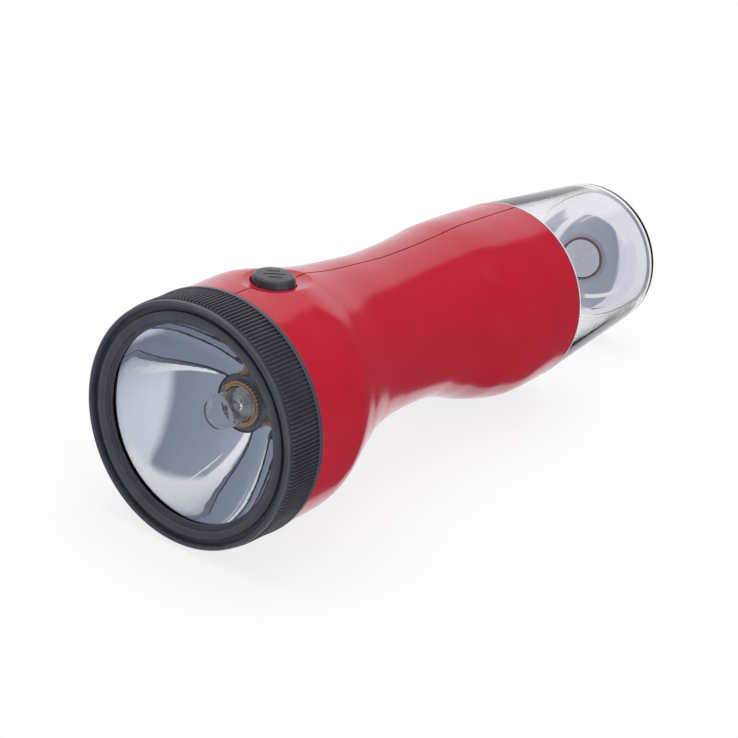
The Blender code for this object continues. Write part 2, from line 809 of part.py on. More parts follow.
# Head: ring, lens, gasket, reflector
def build_bezel():
    groove_outer = lip_flat_radius - lip_flat_width
    groove_inner = groove_outer - lip_groove_width
    crown_inner = groove_inner - crown_width
    rib_start = lip_width + rib_front_gap
    rib_end = bezel_length - flange_width
    root = rib_crest_radius - rib_depth
    seat = root - rib_seat_drop
    profile = [
        (groove_outer, 0),
        (lip_flat_radius, 0),
        (lip_radius, lip_width / 3),
        (lip_radius, lip_width),
        (seat, lip_width + gap),
        (seat, rib_end),
        (flange_radius, rib_end),
        (flange_radius, flange_foot_place),
        (flange_radius - head_edge, bezel_length),
        (bezel_bore_radius, bezel_length),
        (bezel_bore_radius, bezel_bore_place),
        (lens_pocket_radius, bezel_bore_place - gap),
        (lens_pocket_radius, ledge_place),
        (window_radius, ledge_place),
        (window_radius, ledge_place - ledge_thickness),
        (window_radius + window_well_width, ledge_place - ledge_thickness),
        (crown_inner, crown_drop + crown_round),
        (crown_inner + crown_round, crown_drop),
        (groove_inner - crown_round, crown_drop),
        (groove_inner, crown_drop + crown_round),
        (groove_inner, lip_groove_depth),
        (groove_outer - gap, lip_groove_depth),
    ]
    ring = turned("bezel_ring", profile, ring_steps, bezel_axis)

    step = 2 * math.pi / rib_count
    outline = []
    for k in range(rib_count):
        for radius, part in ((rib_crest_radius, 0), (root, 1 / 2)):
            angle = (k + part) * step
            outline.append((radius * math.cos(angle), radius * math.sin(angle)))
    hidden = seat - bite
    inside = [
        (hidden * math.cos(a), hidden * math.sin(a))
        for a in (-(k + 0.5) * 2 * math.pi / ring_steps for k in range(ring_steps))
    ]
    rib_length = rib_end + flange_width / 2 - rib_start
    ribs = flat_outline("bezel_ribs", [outline, inside], rib_length, collection=cutters)
    moved(ribs, rib_start + rib_length / 2)
    combine(ring, ribs, "UNION")

    front = bezel_length - ring_thread_margin - thread_base_width / 2 - ring_thread_turns * pitch
    phase = thread_phase(neck_place + neck_thread_margin, front)
    spans = [(-ring_thread_turns - phase, -phase, front - phase * pitch)]
    crest = bezel_bore_radius - ring_thread_height
    thread = helical_ridges("ring_thread", bezel_bore_radius, crest, spans, thread_steps, bite)
    combine(ring, thread, "UNION")
    settle(ring)

    lens = [
        (0, lens_place),
        (lens_pocket_radius - gap, lens_place),
        (lens_pocket_radius - gap, lens_place + lens_thickness),
        (0, lens_place + lens_thickness),
    ]
    settle(turned("front_lens", lens, lens_steps, bezel_axis))
    gasket_radius = lens_pocket_radius - gap
    gasket = [
        (gasket_radius, gasket_place),
        (gasket_radius, gasket_place + gasket_thickness),
        (gasket_radius - gasket_width, gasket_place + gasket_thickness),
        (gasket_radius - gasket_width, gasket_place),
    ]
    settle(turned("lens_gasket", gasket, lens_steps, bezel_axis))


def thread_phase(own_place, other_place):
    """The part of a turn that sets a ridge midway between the ridges that it runs in."""
    return ((other_place - own_place) / pitch + 0.5) % 1.0


def mirror_place(radius, mouth_place):
    """A paraboloid from the mouth to the throat."""
    depth = throat_place - mouth_place
    share = (reflector_mouth_radius**2 - radius**2) / (reflector_mouth_radius**2 - throat_radius**2)
    return mouth_place + share * depth


def build_reflector():
    mouth_place = reflector_place + reflector_flange_thickness / 2
    flange_end = reflector_place + reflector_flange_thickness
    radii = [
        throat_radius + (reflector_mouth_radius - throat_radius) * k / mirror_points
        for k in range(mirror_points + 1)
    ]
    back = [(r + reflector_wall, mirror_place(r, mouth_place)) for r in reversed(radii)]
    back = [(r, max(place, flange_end)) for r, place in back]
    front = [(r, mirror_place(r, mouth_place)) for r in radii]
    neck_end = throat_place + throat_neck_length
    # The bezel's own ridge passes the flange as the bezel is screwed off
    flange_radius = flat_low(bezel_bore_radius - ring_thread_height, thread_steps) - gap
    profile = (
        [(flange_radius, reflector_place), (flange_radius, flange_end)]
        + back
        + [(throat_radius + reflector_wall, neck_end), (throat_radius, neck_end)]
        + front
        + [(reflector_mouth_radius + gap, reflector_place)]
    )
    settle(turned("reflector", profile, reflector_steps, rest_pose))


# Bulb, collar and holder
def build_bulb():
    glass_end = holder_place
    shoulder = bulb_front_place + bulb_dome_length
    outer = [
        (bulb_radius * math.sin(a), shoulder - bulb_dome_length * math.cos(a))
        for a in quarter_turn(bulb_dome_points)
    ]
    inner = [
        ((bulb_radius - bulb_wall) * math.sin(a), shoulder - (bulb_dome_length / 2) * math.cos(a))
        for a in reversed(quarter_turn(bulb_dome_inner_points))
    ]
    profile = outer + [(bulb_radius, glass_end), (bulb_radius - bulb_wall, glass_end)] + inner
    profile[0] = (0, bulb_front_place)
    profile[-1] = (0, profile[-1][1])
    settle(turned("bulb_glass", profile, small_steps, rest_pose))

    flange_place = glass_end + gap
    flange_end = flange_place + bulb_flange_thickness
    base_end = flange_end + bulb_base_length
    base = [
        (0, flange_place),
        (bulb_flange_radius, flange_place),
        (bulb_flange_radius, flange_end),
        (bulb_base_radius, flange_end),
        (bulb_base_radius, base_end),
        (bulb_tip_radius, base_end),
        (bulb_tip_radius, base_end + bulb_tip_length),
        (0, base_end + bulb_tip_length),
    ]
    settle(turned("bulb_base", base, small_steps, rest_pose))

    # Two leads with a small coil across them
    start = -(flange_place - gap)
    rise = -filament_place
    coil = []
    coil_points = filament_coil_turns * 6
    for k in range(coil_points + 1):
        angle = k * math.pi / 3
        x = filament_half_span * (2 * k / coil_points - 1)
        around, along = math.sin(angle), math.cos(angle)
        coil.append((x, filament_coil_radius * around, rise + filament_coil_radius * along))
    leads = [(-filament_half_span, 0, start)] + coil + [(filament_half_span, 0, start)]
    wire("bulb_filament", leads, filament_wire, rest_pose)

    holder_front_end = throat_place + throat_neck_length + gap
    flange_back = holder_front_end + holder_flange_thickness
    tail = flange_back + holder_tail_length
    recess = holder_place + holder_recess_depth
    holder = [
        (holder_recess_radius, holder_place),
        (holder_radius, holder_place),
        (holder_radius, holder_front_end),
        (holder_flange_radius, holder_front_end),
        (holder_flange_radius, flange_back),
        (holder_tail_radius, flange_back),
        (holder_tail_radius, tail),
        (holder_bore_radius, tail),
        (holder_bore_radius, recess),
        (holder_recess_radius, recess),
    ]
    settle(turned("bulb_holder", holder, small_steps, rest_pose))

    teeth = []
    for k in range(2 * collar_tooth_count):
        radius = collar_radius - (k % 2) * collar_tooth_depth
        angle = k * math.pi / collar_tooth_count
        teeth.append((radius * math.cos(angle), radius * math.sin(angle)))
    bore = [
        (collar_bore_radius * math.cos(a), collar_bore_radius * math.sin(a))
        for a in (-k * 2 * math.pi / small_steps for k in range(small_steps))
    ]
    collar = flat_outline("bulb_collar", [teeth, bore], collar_thickness, rest_pose)
    moved(collar, holder_place - gap - collar_thickness / 2)


# Cells, springs and contacts
def build_cells():
    for name, place in (("battery_front", cell_front_place), ("battery_rear", cell_rear_place)):
        body_place = place + cell_nub_height
        end = place + cell_length
        cell = [
            (0, place),
            (cell_nub_radius, place),
            (cell_nub_radius, body_place),
            (cell_radius - cell_edge, body_place),
            (cell_radius, body_place + cell_edge),
            (cell_radius, end - cell_edge),
            (cell_radius - cell_edge, end),
            (cell_dish_radius, end),
            (cell_dish_radius - cell_dish_depth, end - cell_dish_depth),
            (0, end - cell_dish_depth),
        ]
        settle(turned(name, cell, small_steps, rest_pose))

    disc = [
        (0, disc_place),
        (tail_disc_radius, disc_place),
        (tail_disc_radius, disc_place + tail_disc_thickness),
        (0, disc_place + tail_disc_thickness),
    ]
    settle(turned("tail_contact_disc", disc, small_steps, rest_pose))

    front = cell_end_place + gap + tail_spring_wire / 2
    back = disc_place - gap - tail_spring_wire / 2
    points = []
    count = tail_spring_turns * coil_points_each
    for k in range(count + 1):
        part = k / count
        radius = tail_spring_inner_radius + part * (tail_spring_outer_radius - tail_spring_inner_radius)
        angle = part * tail_spring_turns * 2 * math.pi
        points.append((radius * math.cos(angle), radius * math.sin(angle), -front - part * (back - front)))
    wire("tail_spring", points, tail_spring_wire, rest_pose)


coil_points_each = 8


def strip(name, path):
    """A bent flat strip along (place, underside height) points, its thickness square to each run."""
    under, over = [], []
    for k, (place, height) in enumerate(path):
        before, after = path[max(k - 1, 0)], path[min(k + 1, len(path) - 1)]
        way_in = Vector((place - before[0], height - before[1]))
        way_out = Vector((after[0] - place, after[1] - height))
        way = (way_in.normalized() + way_out.normalized()).normalized()
        across = Vector((-way.y, way.x))
        turn = (way_out if k == 0 else way_in).normalized()
        reach = strip_thickness / max(way.dot(turn), 0.5)
        under.append((place, height))
        over.append((place + across.x * reach, height + across.y * reach))
    outline = under + list(reversed(over))
    made = flat_outline(name, [outline], strip_width, rest_pose)
    # The outline's X runs back along the body and its Y runs up
    made.data.transform(Matrix(((0, 0, 1, 0), (0, 1, 0, 0), (-1, 0, 0, 0), (0, 0, 0, 1))))
    return made


def build_strips():
    start = button_place - switch_length / 2 + overrun
    top = switch_bottom_height - gap - strip_thickness
    base_end = holder_place + gap + bulb_flange_thickness + bulb_base_length
    down = base_end - strip_thickness - gap
    strip("bulb_contact_strip", [(start, top), (down, top), (down, bulb_base_radius + gap)])
    bend = front_web_place + web_thickness + strip_room
    drop = top - strip_height
    strip(
        "tail_contact_strip",
        [(down + overrun, top), (bend, top), (bend + drop, strip_height), (disc_place - gap, strip_height)],
    )


# Button and switch
def build_switch():
    rim = button_top_radius + button_shoulder
    skirt_end = button_skirt - button_flange_thickness
    stem_end = button_skirt + stem_length
    button = [
        (0, 0),
        (button_top_radius, 0),
        (rim, button_shoulder),
        (button_radius, button_top_height - scoop_floor_height),
        (button_radius, skirt_end),
        (button_flange_radius, skirt_end),
        (button_flange_radius, button_skirt),
        (stem_radius, button_skirt),
        (stem_radius, stem_end),
        (0, stem_end),
    ]
    cap = turned("push_button", button, small_steps, button_axis, (0, button_top_height, 0), -math.pi / 2)
    for number, length in enumerate(grip_bar_lengths):
        across = (number - (len(grip_bar_lengths) - 1) / 2) * grip_bar_spacing
        bar = box(
            f"grip_bar_{number}",
            (across - grip_bar_width / 2, -length / 2, -grip_bar_depth),
            (across + grip_bar_width / 2, length / 2, overrun),
        )
        bar.data.transform(Matrix.Rotation(-grip_bar_turn, 4, "Z"))
        bar.parent = cap
        combine(cap, bar, "DIFFERENCE")
    settle(cap)

    stem_bottom = button_top_height - stem_end
    contact = [
        (0, 0),
        (switch_contact_radius, 0),
        (switch_contact_radius, switch_contact_thickness),
        (0, switch_contact_thickness),
    ]
    settle(
        turned("switch_contact", contact, small_steps, button_axis, (0, stem_bottom - gap, 0), -math.pi / 2)
    )

    flange_low = button_top_height - button_skirt
    top = flange_low - button_travel - gap - gap
    housing = box(
        "switch_housing",
        (-switch_width / 2, switch_bottom_height, -button_place - switch_length / 2),
        (switch_width / 2, top, -button_place + switch_length / 2),
        torch,
        rest_pose,
    )
    wells = ((spring_well_radius, spring_seat_height), (contact_well_radius, contact_well_height))
    for radius, floor in wells:
        well = cylinder(
            f"well_{floor:.4f}",
            radius,
            (0, floor, -button_place),
            (0, top + overrun, -button_place),
            small_steps,
            parent=rest_pose,
        )
        combine(housing, well, "DIFFERENCE")
    settle(housing)

    low = spring_seat_height + gap + button_spring_wire / 2
    high = flange_low - gap - button_spring_wire / 2
    points = []
    count = button_spring_turns * coil_points_each
    for k in range(count + 1):
        part = k / count
        angle = part * button_spring_turns * 2 * math.pi
        x, z = button_spring_radius * math.cos(angle), button_spring_radius * math.sin(angle)
        points.append((x, low + part * (high - low), z))
    wire("button_spring", points, button_spring_wire, button_axis)


# Tail: cup, plate, lamp, cap, seal and dome
def build_tail():
    cup_end = cup_end_place + cup_end_thickness
    cup_bore = cup_radius - cup_wall
    cup = [
        (0, cup_end_place),
        (cup_bore, cup_end_place),
        (cup_bore, cup_flange_place),
        (cup_flange_radius, cup_flange_place),
        (cup_flange_radius, cup_flange_place + cup_flange_thickness),
        (cup_radius, cup_flange_place + cup_flange_thickness),
        (cup_radius, cup_end),
        (0, cup_end),
    ]
    settle(turned("bulkhead_cup", cup, cap_steps, rest_pose))

    plate_end = lamp_plate_place + lamp_plate_thickness
    socket_end = plate_end + lamp_socket_height
    plate = [
        (0, lamp_plate_place),
        (lamp_plate_radius, lamp_plate_place),
        (lamp_plate_radius, plate_end),
        (lamp_socket_radius, plate_end),
        (lamp_socket_radius, socket_end),
        (0, socket_end),
    ]
    made = turned("lamp_plate", plate, cap_steps, rest_pose)
    for k in range(lamp_pip_count):
        angle = k * 2 * math.pi / lamp_pip_count
        x, y = lamp_pip_ring_radius * math.cos(angle), lamp_pip_ring_radius * math.sin(angle)
        pip = cylinder(
            f"pip_{k}",
            lamp_pip_radius,
            (x, y, bite - plate_end),
            (x, y, -plate_end - lamp_pip_height),
            parent=rest_pose,
        )
        combine(made, pip, "UNION")
    settle(made)

    lamp_place = socket_end + gap
    lamp_end = lamp_place + lamp_length
    dome = [
        (lamp_radius * math.cos(a), lamp_end - lamp_radius + lamp_radius * math.sin(a))
        for a in quarter_turn(bulb_dome_points)
    ]
    dome[-1] = (0, lamp_end)
    flange = lamp_place + lamp_flange_thickness
    lamp = [
        (0, lamp_place),
        (lamp_flange_radius, lamp_place),
        (lamp_flange_radius, flange),
        (lamp_radius, flange),
    ]
    settle(turned("rear_lamp", lamp + dome, small_steps, rest_pose))

    neck_start = cap_shoulder_place - cap_neck_length
    neck_bore = cap_neck_radius - cap_neck_wall
    corner = cap_end_place - cap_corner
    slant = (cap_corner * (1 - math.cos(math.pi / 4)), cap_corner * (1 - math.sin(math.pi / 4)))
    # From the axis at the end, up the inside, out over the neck and back down the outside
    cap = [
        (0, cap_end_place - cap_wall),
        (cap_radius(corner) - cap_corner, cap_end_place - cap_wall),
        (cap_radius(corner) - cap_wall, corner),
        (cap_front_radius - cap_wall, cap_shoulder_place + cap_wall),
        (neck_bore, cap_shoulder_place + cap_wall - (cap_front_radius - cap_wall - neck_bore)),
        (neck_bore, neck_start),
        (cap_neck_radius, neck_start),
        (cap_neck_radius, cap_shoulder_place),
        (cap_front_radius, cap_shoulder_place),
        (cap_radius(corner), corner),
        (cap_radius(corner) - slant[0], cap_end_place - slant[1]),
        (cap_radius(corner) - cap_corner, cap_end_place),
        (0, cap_end_place),
    ]
    clear = turned("rear_cap", cap, cap_steps, cap_axis)
    front = neck_start + cap_thread_margin + thread_base_width / 2
    own = body_end_place - body_thread_margin - body_thread_turns * pitch
    phase = thread_phase(own, front)
    spans = [(-cap_thread_turns - phase, -phase, front - phase * pitch)]
    crest = cap_neck_radius + cap_thread_height
    combine(clear, helical_ridges("cap_thread", cap_neck_radius, crest, spans, thread_steps, bite), "UNION")
    settle(clear)

    seal_radius = (cap_neck_radius + bore_radius) / 2
    seal = [
        (seal_radius + seal_thickness / 2 * math.cos(a), seal_place + seal_thickness / 2 * math.sin(a))
        for a in (k * math.pi / 3 for k in range(6))
    ]
    settle(turned("cap_seal", seal, cap_steps, cap_axis))

    inner_rim = dome_radius - dome_wall
    base = dome_rim_place - gap
    outside = [
        (dome_radius * math.sin(a), base - dome_height * math.cos(a))
        for a in quarter_turn(dome_points)
    ]
    inside = [
        (inner_rim * math.sin(a), base - (dome_height - dome_wall) * math.cos(a))
        for a in reversed(quarter_turn(dome_points))
    ]
    outside[0] = (0, base - dome_height)
    inside[-1] = (0, inside[-1][1])
    brim = [(dome_radius + dome_flange_width, base), (dome_radius + dome_flange_width, dome_rim_place)]
    profile = outside + brim + [(inner_rim, dome_rim_place)] + inside
    settle(turned("dome_reflector", profile, cap_steps, cap_axis))


build_shells()
build_bezel()
build_reflector()
build_bulb()
build_cells()
build_strips()
build_switch()
build_tail()
bpy.context.view_layer.update()
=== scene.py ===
import json
import math

import bmesh
import bpy
import numpy as np
from mathutils import Matrix


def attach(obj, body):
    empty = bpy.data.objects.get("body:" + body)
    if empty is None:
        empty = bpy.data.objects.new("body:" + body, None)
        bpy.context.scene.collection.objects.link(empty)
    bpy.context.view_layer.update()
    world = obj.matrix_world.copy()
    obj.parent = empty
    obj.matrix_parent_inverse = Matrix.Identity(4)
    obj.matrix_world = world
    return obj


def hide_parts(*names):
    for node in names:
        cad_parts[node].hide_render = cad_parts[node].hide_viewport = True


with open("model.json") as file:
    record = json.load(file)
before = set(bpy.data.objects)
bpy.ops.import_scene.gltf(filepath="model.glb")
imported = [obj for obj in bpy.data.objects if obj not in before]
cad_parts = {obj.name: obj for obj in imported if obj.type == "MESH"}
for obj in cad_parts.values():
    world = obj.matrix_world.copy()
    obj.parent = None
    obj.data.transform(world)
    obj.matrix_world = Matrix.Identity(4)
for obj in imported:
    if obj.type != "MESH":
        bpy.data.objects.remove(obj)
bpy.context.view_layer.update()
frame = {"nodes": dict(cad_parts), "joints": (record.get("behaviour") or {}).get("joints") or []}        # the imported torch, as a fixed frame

print("frame loaded")

# The torch's own axes, read from the bezel's screw joint. A place is the distance behind the bezel's
# front.
mm = 0.001
joints = {joint["name"]: joint for joint in frame["joints"]}
frontCentre = np.array(joints["bezel_turn"]["pos_m"])
beamWay = np.array(joints["bezel_turn"]["axis"])
upWay = np.array([0.0, beamWay[2], -beamWay[1]])  # square to the beam, through the button
sideWay = np.array([1.0, 0.0, 0.0])
fullTurn = 2 * math.pi


# Points given as (side, up, place) in millimetres, turned into metres on the lying torch
def toWorld(points):
    side, up, place = points[..., 0:1], points[..., 1:2], points[..., 2:3]
    return frontCentre + mm * (side * sideWay + up * upWay - place * beamWay)


# A cubic through (place, value) points whose slope at each point is the harmonic mean of the slopes
# beside it, so it never overshoots; it is level at both ends
def smoothCurve(points, places):
    knots, values = np.array(points, float).T
    slopes = np.diff(values) / np.diff(knots)
    before, after = slopes[:-1], slopes[1:]
    sameWay = before * after > 0
    total = np.where(sameWay, before + after, 1)
    tangents = np.zeros(len(knots))
    tangents[1:-1] = np.where(sameWay, 2 * before * after / total, 0)
    at = np.clip(places, knots[0], knots[-1])
    i = np.clip(np.searchsorted(knots, at, side="right") - 1, 0, len(slopes) - 1)
    run = knots[i + 1] - knots[i]
    t = (at - knots[i]) / run
    return (
        (2 * t**3 - 3 * t**2 + 1) * values[i]
        + (t**3 - 2 * t**2 + t) * run * tangents[i]
        + (3 * t**2 - 2 * t**3) * values[i + 1]
        + (t**3 - t**2) * run * tangents[i + 1]
    )


def smoothStep(low, high, value):
    t = np.clip((value - low) / (high - low), 0, 1)
    return t * t * (3 - 2 * t)


# A line of (radius, place, rounding) corners; each corner becomes an arc that meets both sides, written
# as a rational quadratic whose middle weight is the cosine of half the turn
def roundedLine(corners, closed=False, arcPoints=6):
    points = np.array([corner[:2] for corner in corners], float)
    line = []
    for k, corner in enumerate(corners):
        here, size = points[k], corner[2]
        atEnd = not closed and k in (0, len(corners) - 1)
        if size == 0 or atEnd:
            line.append(here[None, :])
            continue
        into, out = here - points[k - 1], points[(k + 1) % len(corners)] - here
        lengthIn, lengthOut = np.linalg.norm(into), np.linalg.norm(out)
        turn = math.acos(float(np.clip(into @ out / (lengthIn * lengthOut), -1, 1)))
        reach = min(size * math.tan(turn / 2), 0.48 * lengthIn, 0.48 * lengthOut)
        start, end = here - into / lengthIn * reach, here + out / lengthOut * reach
        t = np.linspace(0, 1, arcPoints)[:, None]
        weight = math.cos(turn / 2)
        middle = 2 * weight * t * (1 - t)
        bottom = (1 - t) ** 2 + middle + t**2
        line.append(((1 - t) ** 2 * start + middle * here + t**2 * end) / bottom)
    return np.concatenate(line)


# The outline of a plain ring: four corners with one rounding
def ringLine(size, arcPoints):
    outer, inner, front, back = (size[key] for key in ("outer", "inner", "front", "back"))
    corners = [(outer, front), (outer, back), (inner, back), (inner, front)]
    return roundedLine([(*corner, size["edge"]) for corner in corners], closed=True, arcPoints=arcPoints)


# Long straight runs of a line cut into steps no longer than the given size
def refined(line, longest):
    parts = []
    for start, end in zip(line, line[1:]):
        count = max(1, math.ceil(np.linalg.norm(end - start) / longest - 1e-9))
        t = np.arange(count)[:, None] / count
        parts.append(start + (end - start) * t)
    parts.append(line[-1:])
    return np.concatenate(parts)


def evenAngles(count):
    return np.arange(count) * fullTurn / count


# Radius, angle and place become side and up: the angle runs from straight up towards the torch's side
def aroundAxis(radius, angle, place):
    return np.stack([radius * np.sin(angle), radius * np.cos(angle), place], -1)


# A line of (radius, place) spread over angles, as three grids: radius, angle and place
def spreadLine(line, angles):
    radius = np.repeat(line[:, :1], len(angles), 1)
    angle = np.repeat(angles[None, :], len(line), 0)
    return radius, angle, np.repeat(line[:, 1:2], len(angles), 1)


# Four-cornered faces between neighbouring rows and columns of a grid of points
def gridFaces(rows, columns, closedRows=False, closedColumns=True, first=0):
    index = first + np.arange(rows * columns).reshape(rows, columns)
    if closedRows:
        index = np.concatenate([index, index[:1]], 0)
    if closedColumns:
        index = np.concatenate([index, index[:, :1]], 1)
    corners = [index[:-1, :-1], index[:-1, 1:], index[1:, 1:], index[1:, :-1]]
    return np.stack(corners, -1).reshape(-1, 4)


def makePiece(name, points, faces, material, body, replaced=(), sharpDegrees=35, merge=True):
    mesh = bpy.data.meshes.new(name)
    mesh.from_pydata(toWorld(points.reshape(-1, 3)).tolist(), [], faces.tolist())
    if merge:
        work = bmesh.new()
        work.from_mesh(mesh)
        bmesh.ops.remove_doubles(work, verts=work.verts, dist=0.002 * mm)
        bmesh.ops.delete(work, geom=[vert for vert in work.verts if not vert.link_faces], context="VERTS")
        bmesh.ops.recalc_face_normals(work, faces=work.faces)
        work.to_mesh(mesh)
        work.free()
    mesh.materials.append(material)
    mesh.shade_smooth()
    mesh.set_sharp_from_angle(angle=math.radians(sharpDegrees))
    piece = bpy.data.objects.new(name, mesh)
    bpy.context.scene.collection.objects.link(piece)
    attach(piece, body)
    if replaced:
        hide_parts(*replaced)
    return piece


# A line of (radius, place) carried round the axis; a line that starts and ends on the axis closes itself
def turnedPiece(name, line, steps, material, body, replaced=(), sharpDegrees=35):
    closed = line[0][0] > 0
    points = aroundAxis(*spreadLine(line, evenAngles(steps)))
    faces = gridFaces(len(line), steps, closedRows=closed)
    return makePiece(name, points, faces, material, body, replaced, sharpDegrees)


# A round tube along a path: each ring stands square to the path, turned out from a guide direction
def tubePiece(name, path, radius, sides, guide, material, body, replaced=()):
    way = np.gradient(path, axis=0)
    way /= np.linalg.norm(way, axis=1)[:, None]
    across = np.cross(way, guide)
    across /= np.linalg.norm(across, axis=1)[:, None]
    other = np.cross(way, across)
    angles = evenAngles(sides)
    cosines, sines = np.cos(angles)[None, :, None], np.sin(angles)[None, :, None]
    around = across[:, None, :] * cosines + other[:, None, :] * sines
    rings = path[:, None, :] + radius * around
    ends = [np.repeat(path[k][None, None, :], sides, 1) for k in (0, -1)]
    points = np.concatenate([ends[0], rings, ends[1]])
    return makePiece(name, points, gridFaces(len(points), sides), material, body, replaced, 60)


# Screw ridges as a rise over a surface: near the helix place = start - pitch * turns, a trapezoid across
# it, fading at each end of a span. Turns are counted from the torch's side towards its top.
screw = {"pitch": 3.2, "baseWidth": 1.5, "crestWidth": 0.8, "fadeTurns": 0.02}


def ridgeRise(angle, place, start, spans, height):
    turnHere = 0.25 - angle / fullTurn
    rise = np.zeros(np.broadcast(angle, place).shape)
    for middle, reach in spans:
        for wrap in range(math.floor(middle - reach) - 1, math.ceil(middle + reach) + 2):
            turn = turnHere + wrap
            across = np.abs(place - (start - screw["pitch"] * turn))
            flank = (screw["baseWidth"] - screw["crestWidth"]) / 2
            across = np.clip((screw["baseWidth"] / 2 - across) / flank, 0, 1)
            along = np.clip((reach - np.abs(turn - middle)) / screw["fadeTurns"], 0, 1)
            rise = np.maximum(rise, across * along)
    return rise * height


# The ridge of a screwed-on piece, set midway between the body's ridges, which begin at bodyStart
def matchingRidge(angle, place, start, bodyStart, size):
    phase = ((start - bodyStart) / screw["pitch"] + 0.5) % 1.0
    half = size["threadTurns"] / 2
    firstPlace = start - phase * screw["pitch"]
    return ridgeRise(angle, place, firstPlace, [(-half - phase, half)], size["threadHeight"])


# Materials

def linearColour(code, alpha=1.0):
    parts = [int(code[k : k + 2], 16) / 255 for k in (1, 3, 5)]
    return (*[c / 12.92 if c <= 0.04045 else ((c + 0.055) / 1.055) ** 2.4 for c in parts], alpha)


def perMetre(size):
    return 1 / (size * mm)


def addNode(tree, kind, inputs=(), **settings):
    node = tree.nodes.new(kind)
    for name, value in settings.items():
        setattr(node, name, value)
    for name, value in dict(inputs).items():
        if isinstance(value, bpy.types.NodeSocket):
            tree.links.new(value, node.inputs[name])
        else:
            node.inputs[name].default_value = value
    return node


def startMaterial(name, values):
    material = bpy.data.materials.new(name)
    material.use_nodes = True
    tree = material.node_tree
    shader = tree.nodes["Principled BSDF"]
    for socket, value in values.items():
        shader.inputs[socket].default_value = value
    place = addNode(tree, "ShaderNodeTexCoord").outputs["Object"]
    return material, tree, shader, place


# Moulded plastic: a base colour that drifts a little, a gloss that drifts with it, and a skin that has
# the tool's long waves and a fine grain
def mouldedPlastic(name, look):
    values = {"Roughness": look["roughness"], "IOR": look["ior"]}
    material, tree, shader, place = startMaterial(name, values)
    drift = addNode(
        tree, "ShaderNodeTexNoise", {"Vector": place, "Scale": perMetre(look["driftSize"]), "Detail": 3.0}
    )
    colours = addNode(tree, "ShaderNodeValToRGB", {"Fac": drift.outputs["Fac"]})
    colours.color_ramp.elements[0].position = 0.3
    colours.color_ramp.elements[0].color = linearColour(look["darker"])
    colours.color_ramp.elements[1].position = 0.7
    colours.color_ramp.elements[1].color = linearColour(look["lighter"])
    tree.links.new(colours.outputs["Color"], shader.inputs["Base Color"])
    gloss = addNode(
        tree,
        "ShaderNodeMapRange",
        {
            "Value": drift.outputs["Fac"],
            "To Min": look["roughness"] - look["roughnessDrift"],
            "To Max": look["roughness"] + look["roughnessDrift"],
        },
    )
    tree.links.new(gloss.outputs["Result"], shader.inputs["Roughness"])
    waves = addNode(
        tree, "ShaderNodeTexNoise", {"Vector": place, "Scale": perMetre(look["waveSize"]), "Detail": 1.0}
    )
    grain = addNode(
        tree, "ShaderNodeTexNoise", {"Vector": place, "Scale": perMetre(look["grainSize"]), "Detail": 2.0}
    )
    wavy = addNode(
        tree,
        "ShaderNodeBump",
        {"Height": waves.outputs["Fac"], "Strength": 1.0, "Distance": look["waveDepth"] * mm},
    )
    skin = addNode(
        tree,
        "ShaderNodeBump",
        {
            "Height": grain.outputs["Fac"],
            "Strength": 1.0,
            "Distance": look["grainDepth"] * mm,
            "Normal": wavy.outputs["Normal"],
        },
    )
    tree.links.new(skin.outputs["Normal"], shader.inputs["Normal"])
    return material


# Moulded ABS with a red pigment: a clean half gloss that mirrors the studio softly
redAbs = mouldedPlastic(
    "redMouldedAbs",
    {
        "darker": "#AE1A2B", "lighter": "#B41F31", "roughness": 0.14, "roughnessDrift": 0.02, "ior": 1.45,
        "driftSize": 25, "waveSize": 9, "waveDepth": 0.02, "grainSize": 0.5, "grainDepth": 0.002,
    },
)
# Nylon moulding, coal grey: a satin skin that lights up grey on each crest
coalNylon = mouldedPlastic(
    "coalGreyNylon",
    {
        "darker": "#3E3E47", "lighter": "#474750", "roughness": 0.3, "roughnessDrift": 0.04, "ior": 1.53,
        "driftSize": 8, "waveSize": 4, "waveDepth": 0.01, "grainSize": 0.3, "grainDepth": 0.003,
    },
)
# Button in acetal: nearly the same grey, with a slight sheen on its flat top
buttonAcetal = mouldedPlastic(
    "darkGreyAcetal",
    {
        "darker": "#333338", "lighter": "#3A3A40", "roughness": 0.3, "roughnessDrift": 0.05, "ior": 1.48,
        "driftSize": 3, "waveSize": 2, "waveDepth": 0.005, "grainSize": 0.25, "grainDepth": 0.004,
    },
)
# Grey ABS of the holder and the cup: matt enough to stay quiet behind clear pieces
greyAbs = mouldedPlastic(
    "greyMouldedAbs",
    {
        "darker": "#5C606B", "lighter": "#666A75", "roughness": 0.45, "roughnessDrift": 0.05, "ior": 1.5,
        "driftSize": 4, "waveSize": 3, "waveDepth": 0.005, "grainSize": 0.3, "grainDepth": 0.004,
    },
)
# White ABS of the lamp plate: pale, with a soft gloss that the dome can mirror
whiteAbs = mouldedPlastic(
    "whiteMouldedAbs",
    {
        "darker": "#D6D7DA", "lighter": "#DFE0E3", "roughness": 0.35, "roughnessDrift": 0.05, "ior": 1.5,
        "driftSize": 6, "waveSize": 4, "waveDepth": 0.008, "grainSize": 0.3, "grainDepth": 0.003,
    },
)
# Nitrile rubber: black, matt, with a slight bloom
blackRubber = mouldedPlastic(
    "blackNitrileRubber",
    {
        "darker": "#141414", "lighter": "#1D1D1E", "roughness": 0.75, "roughnessDrift": 0.08, "ior": 1.52,
        "driftSize": 2, "waveSize": 3, "waveDepth": 0.01, "grainSize": 0.2, "grainDepth": 0.01,
    },
)
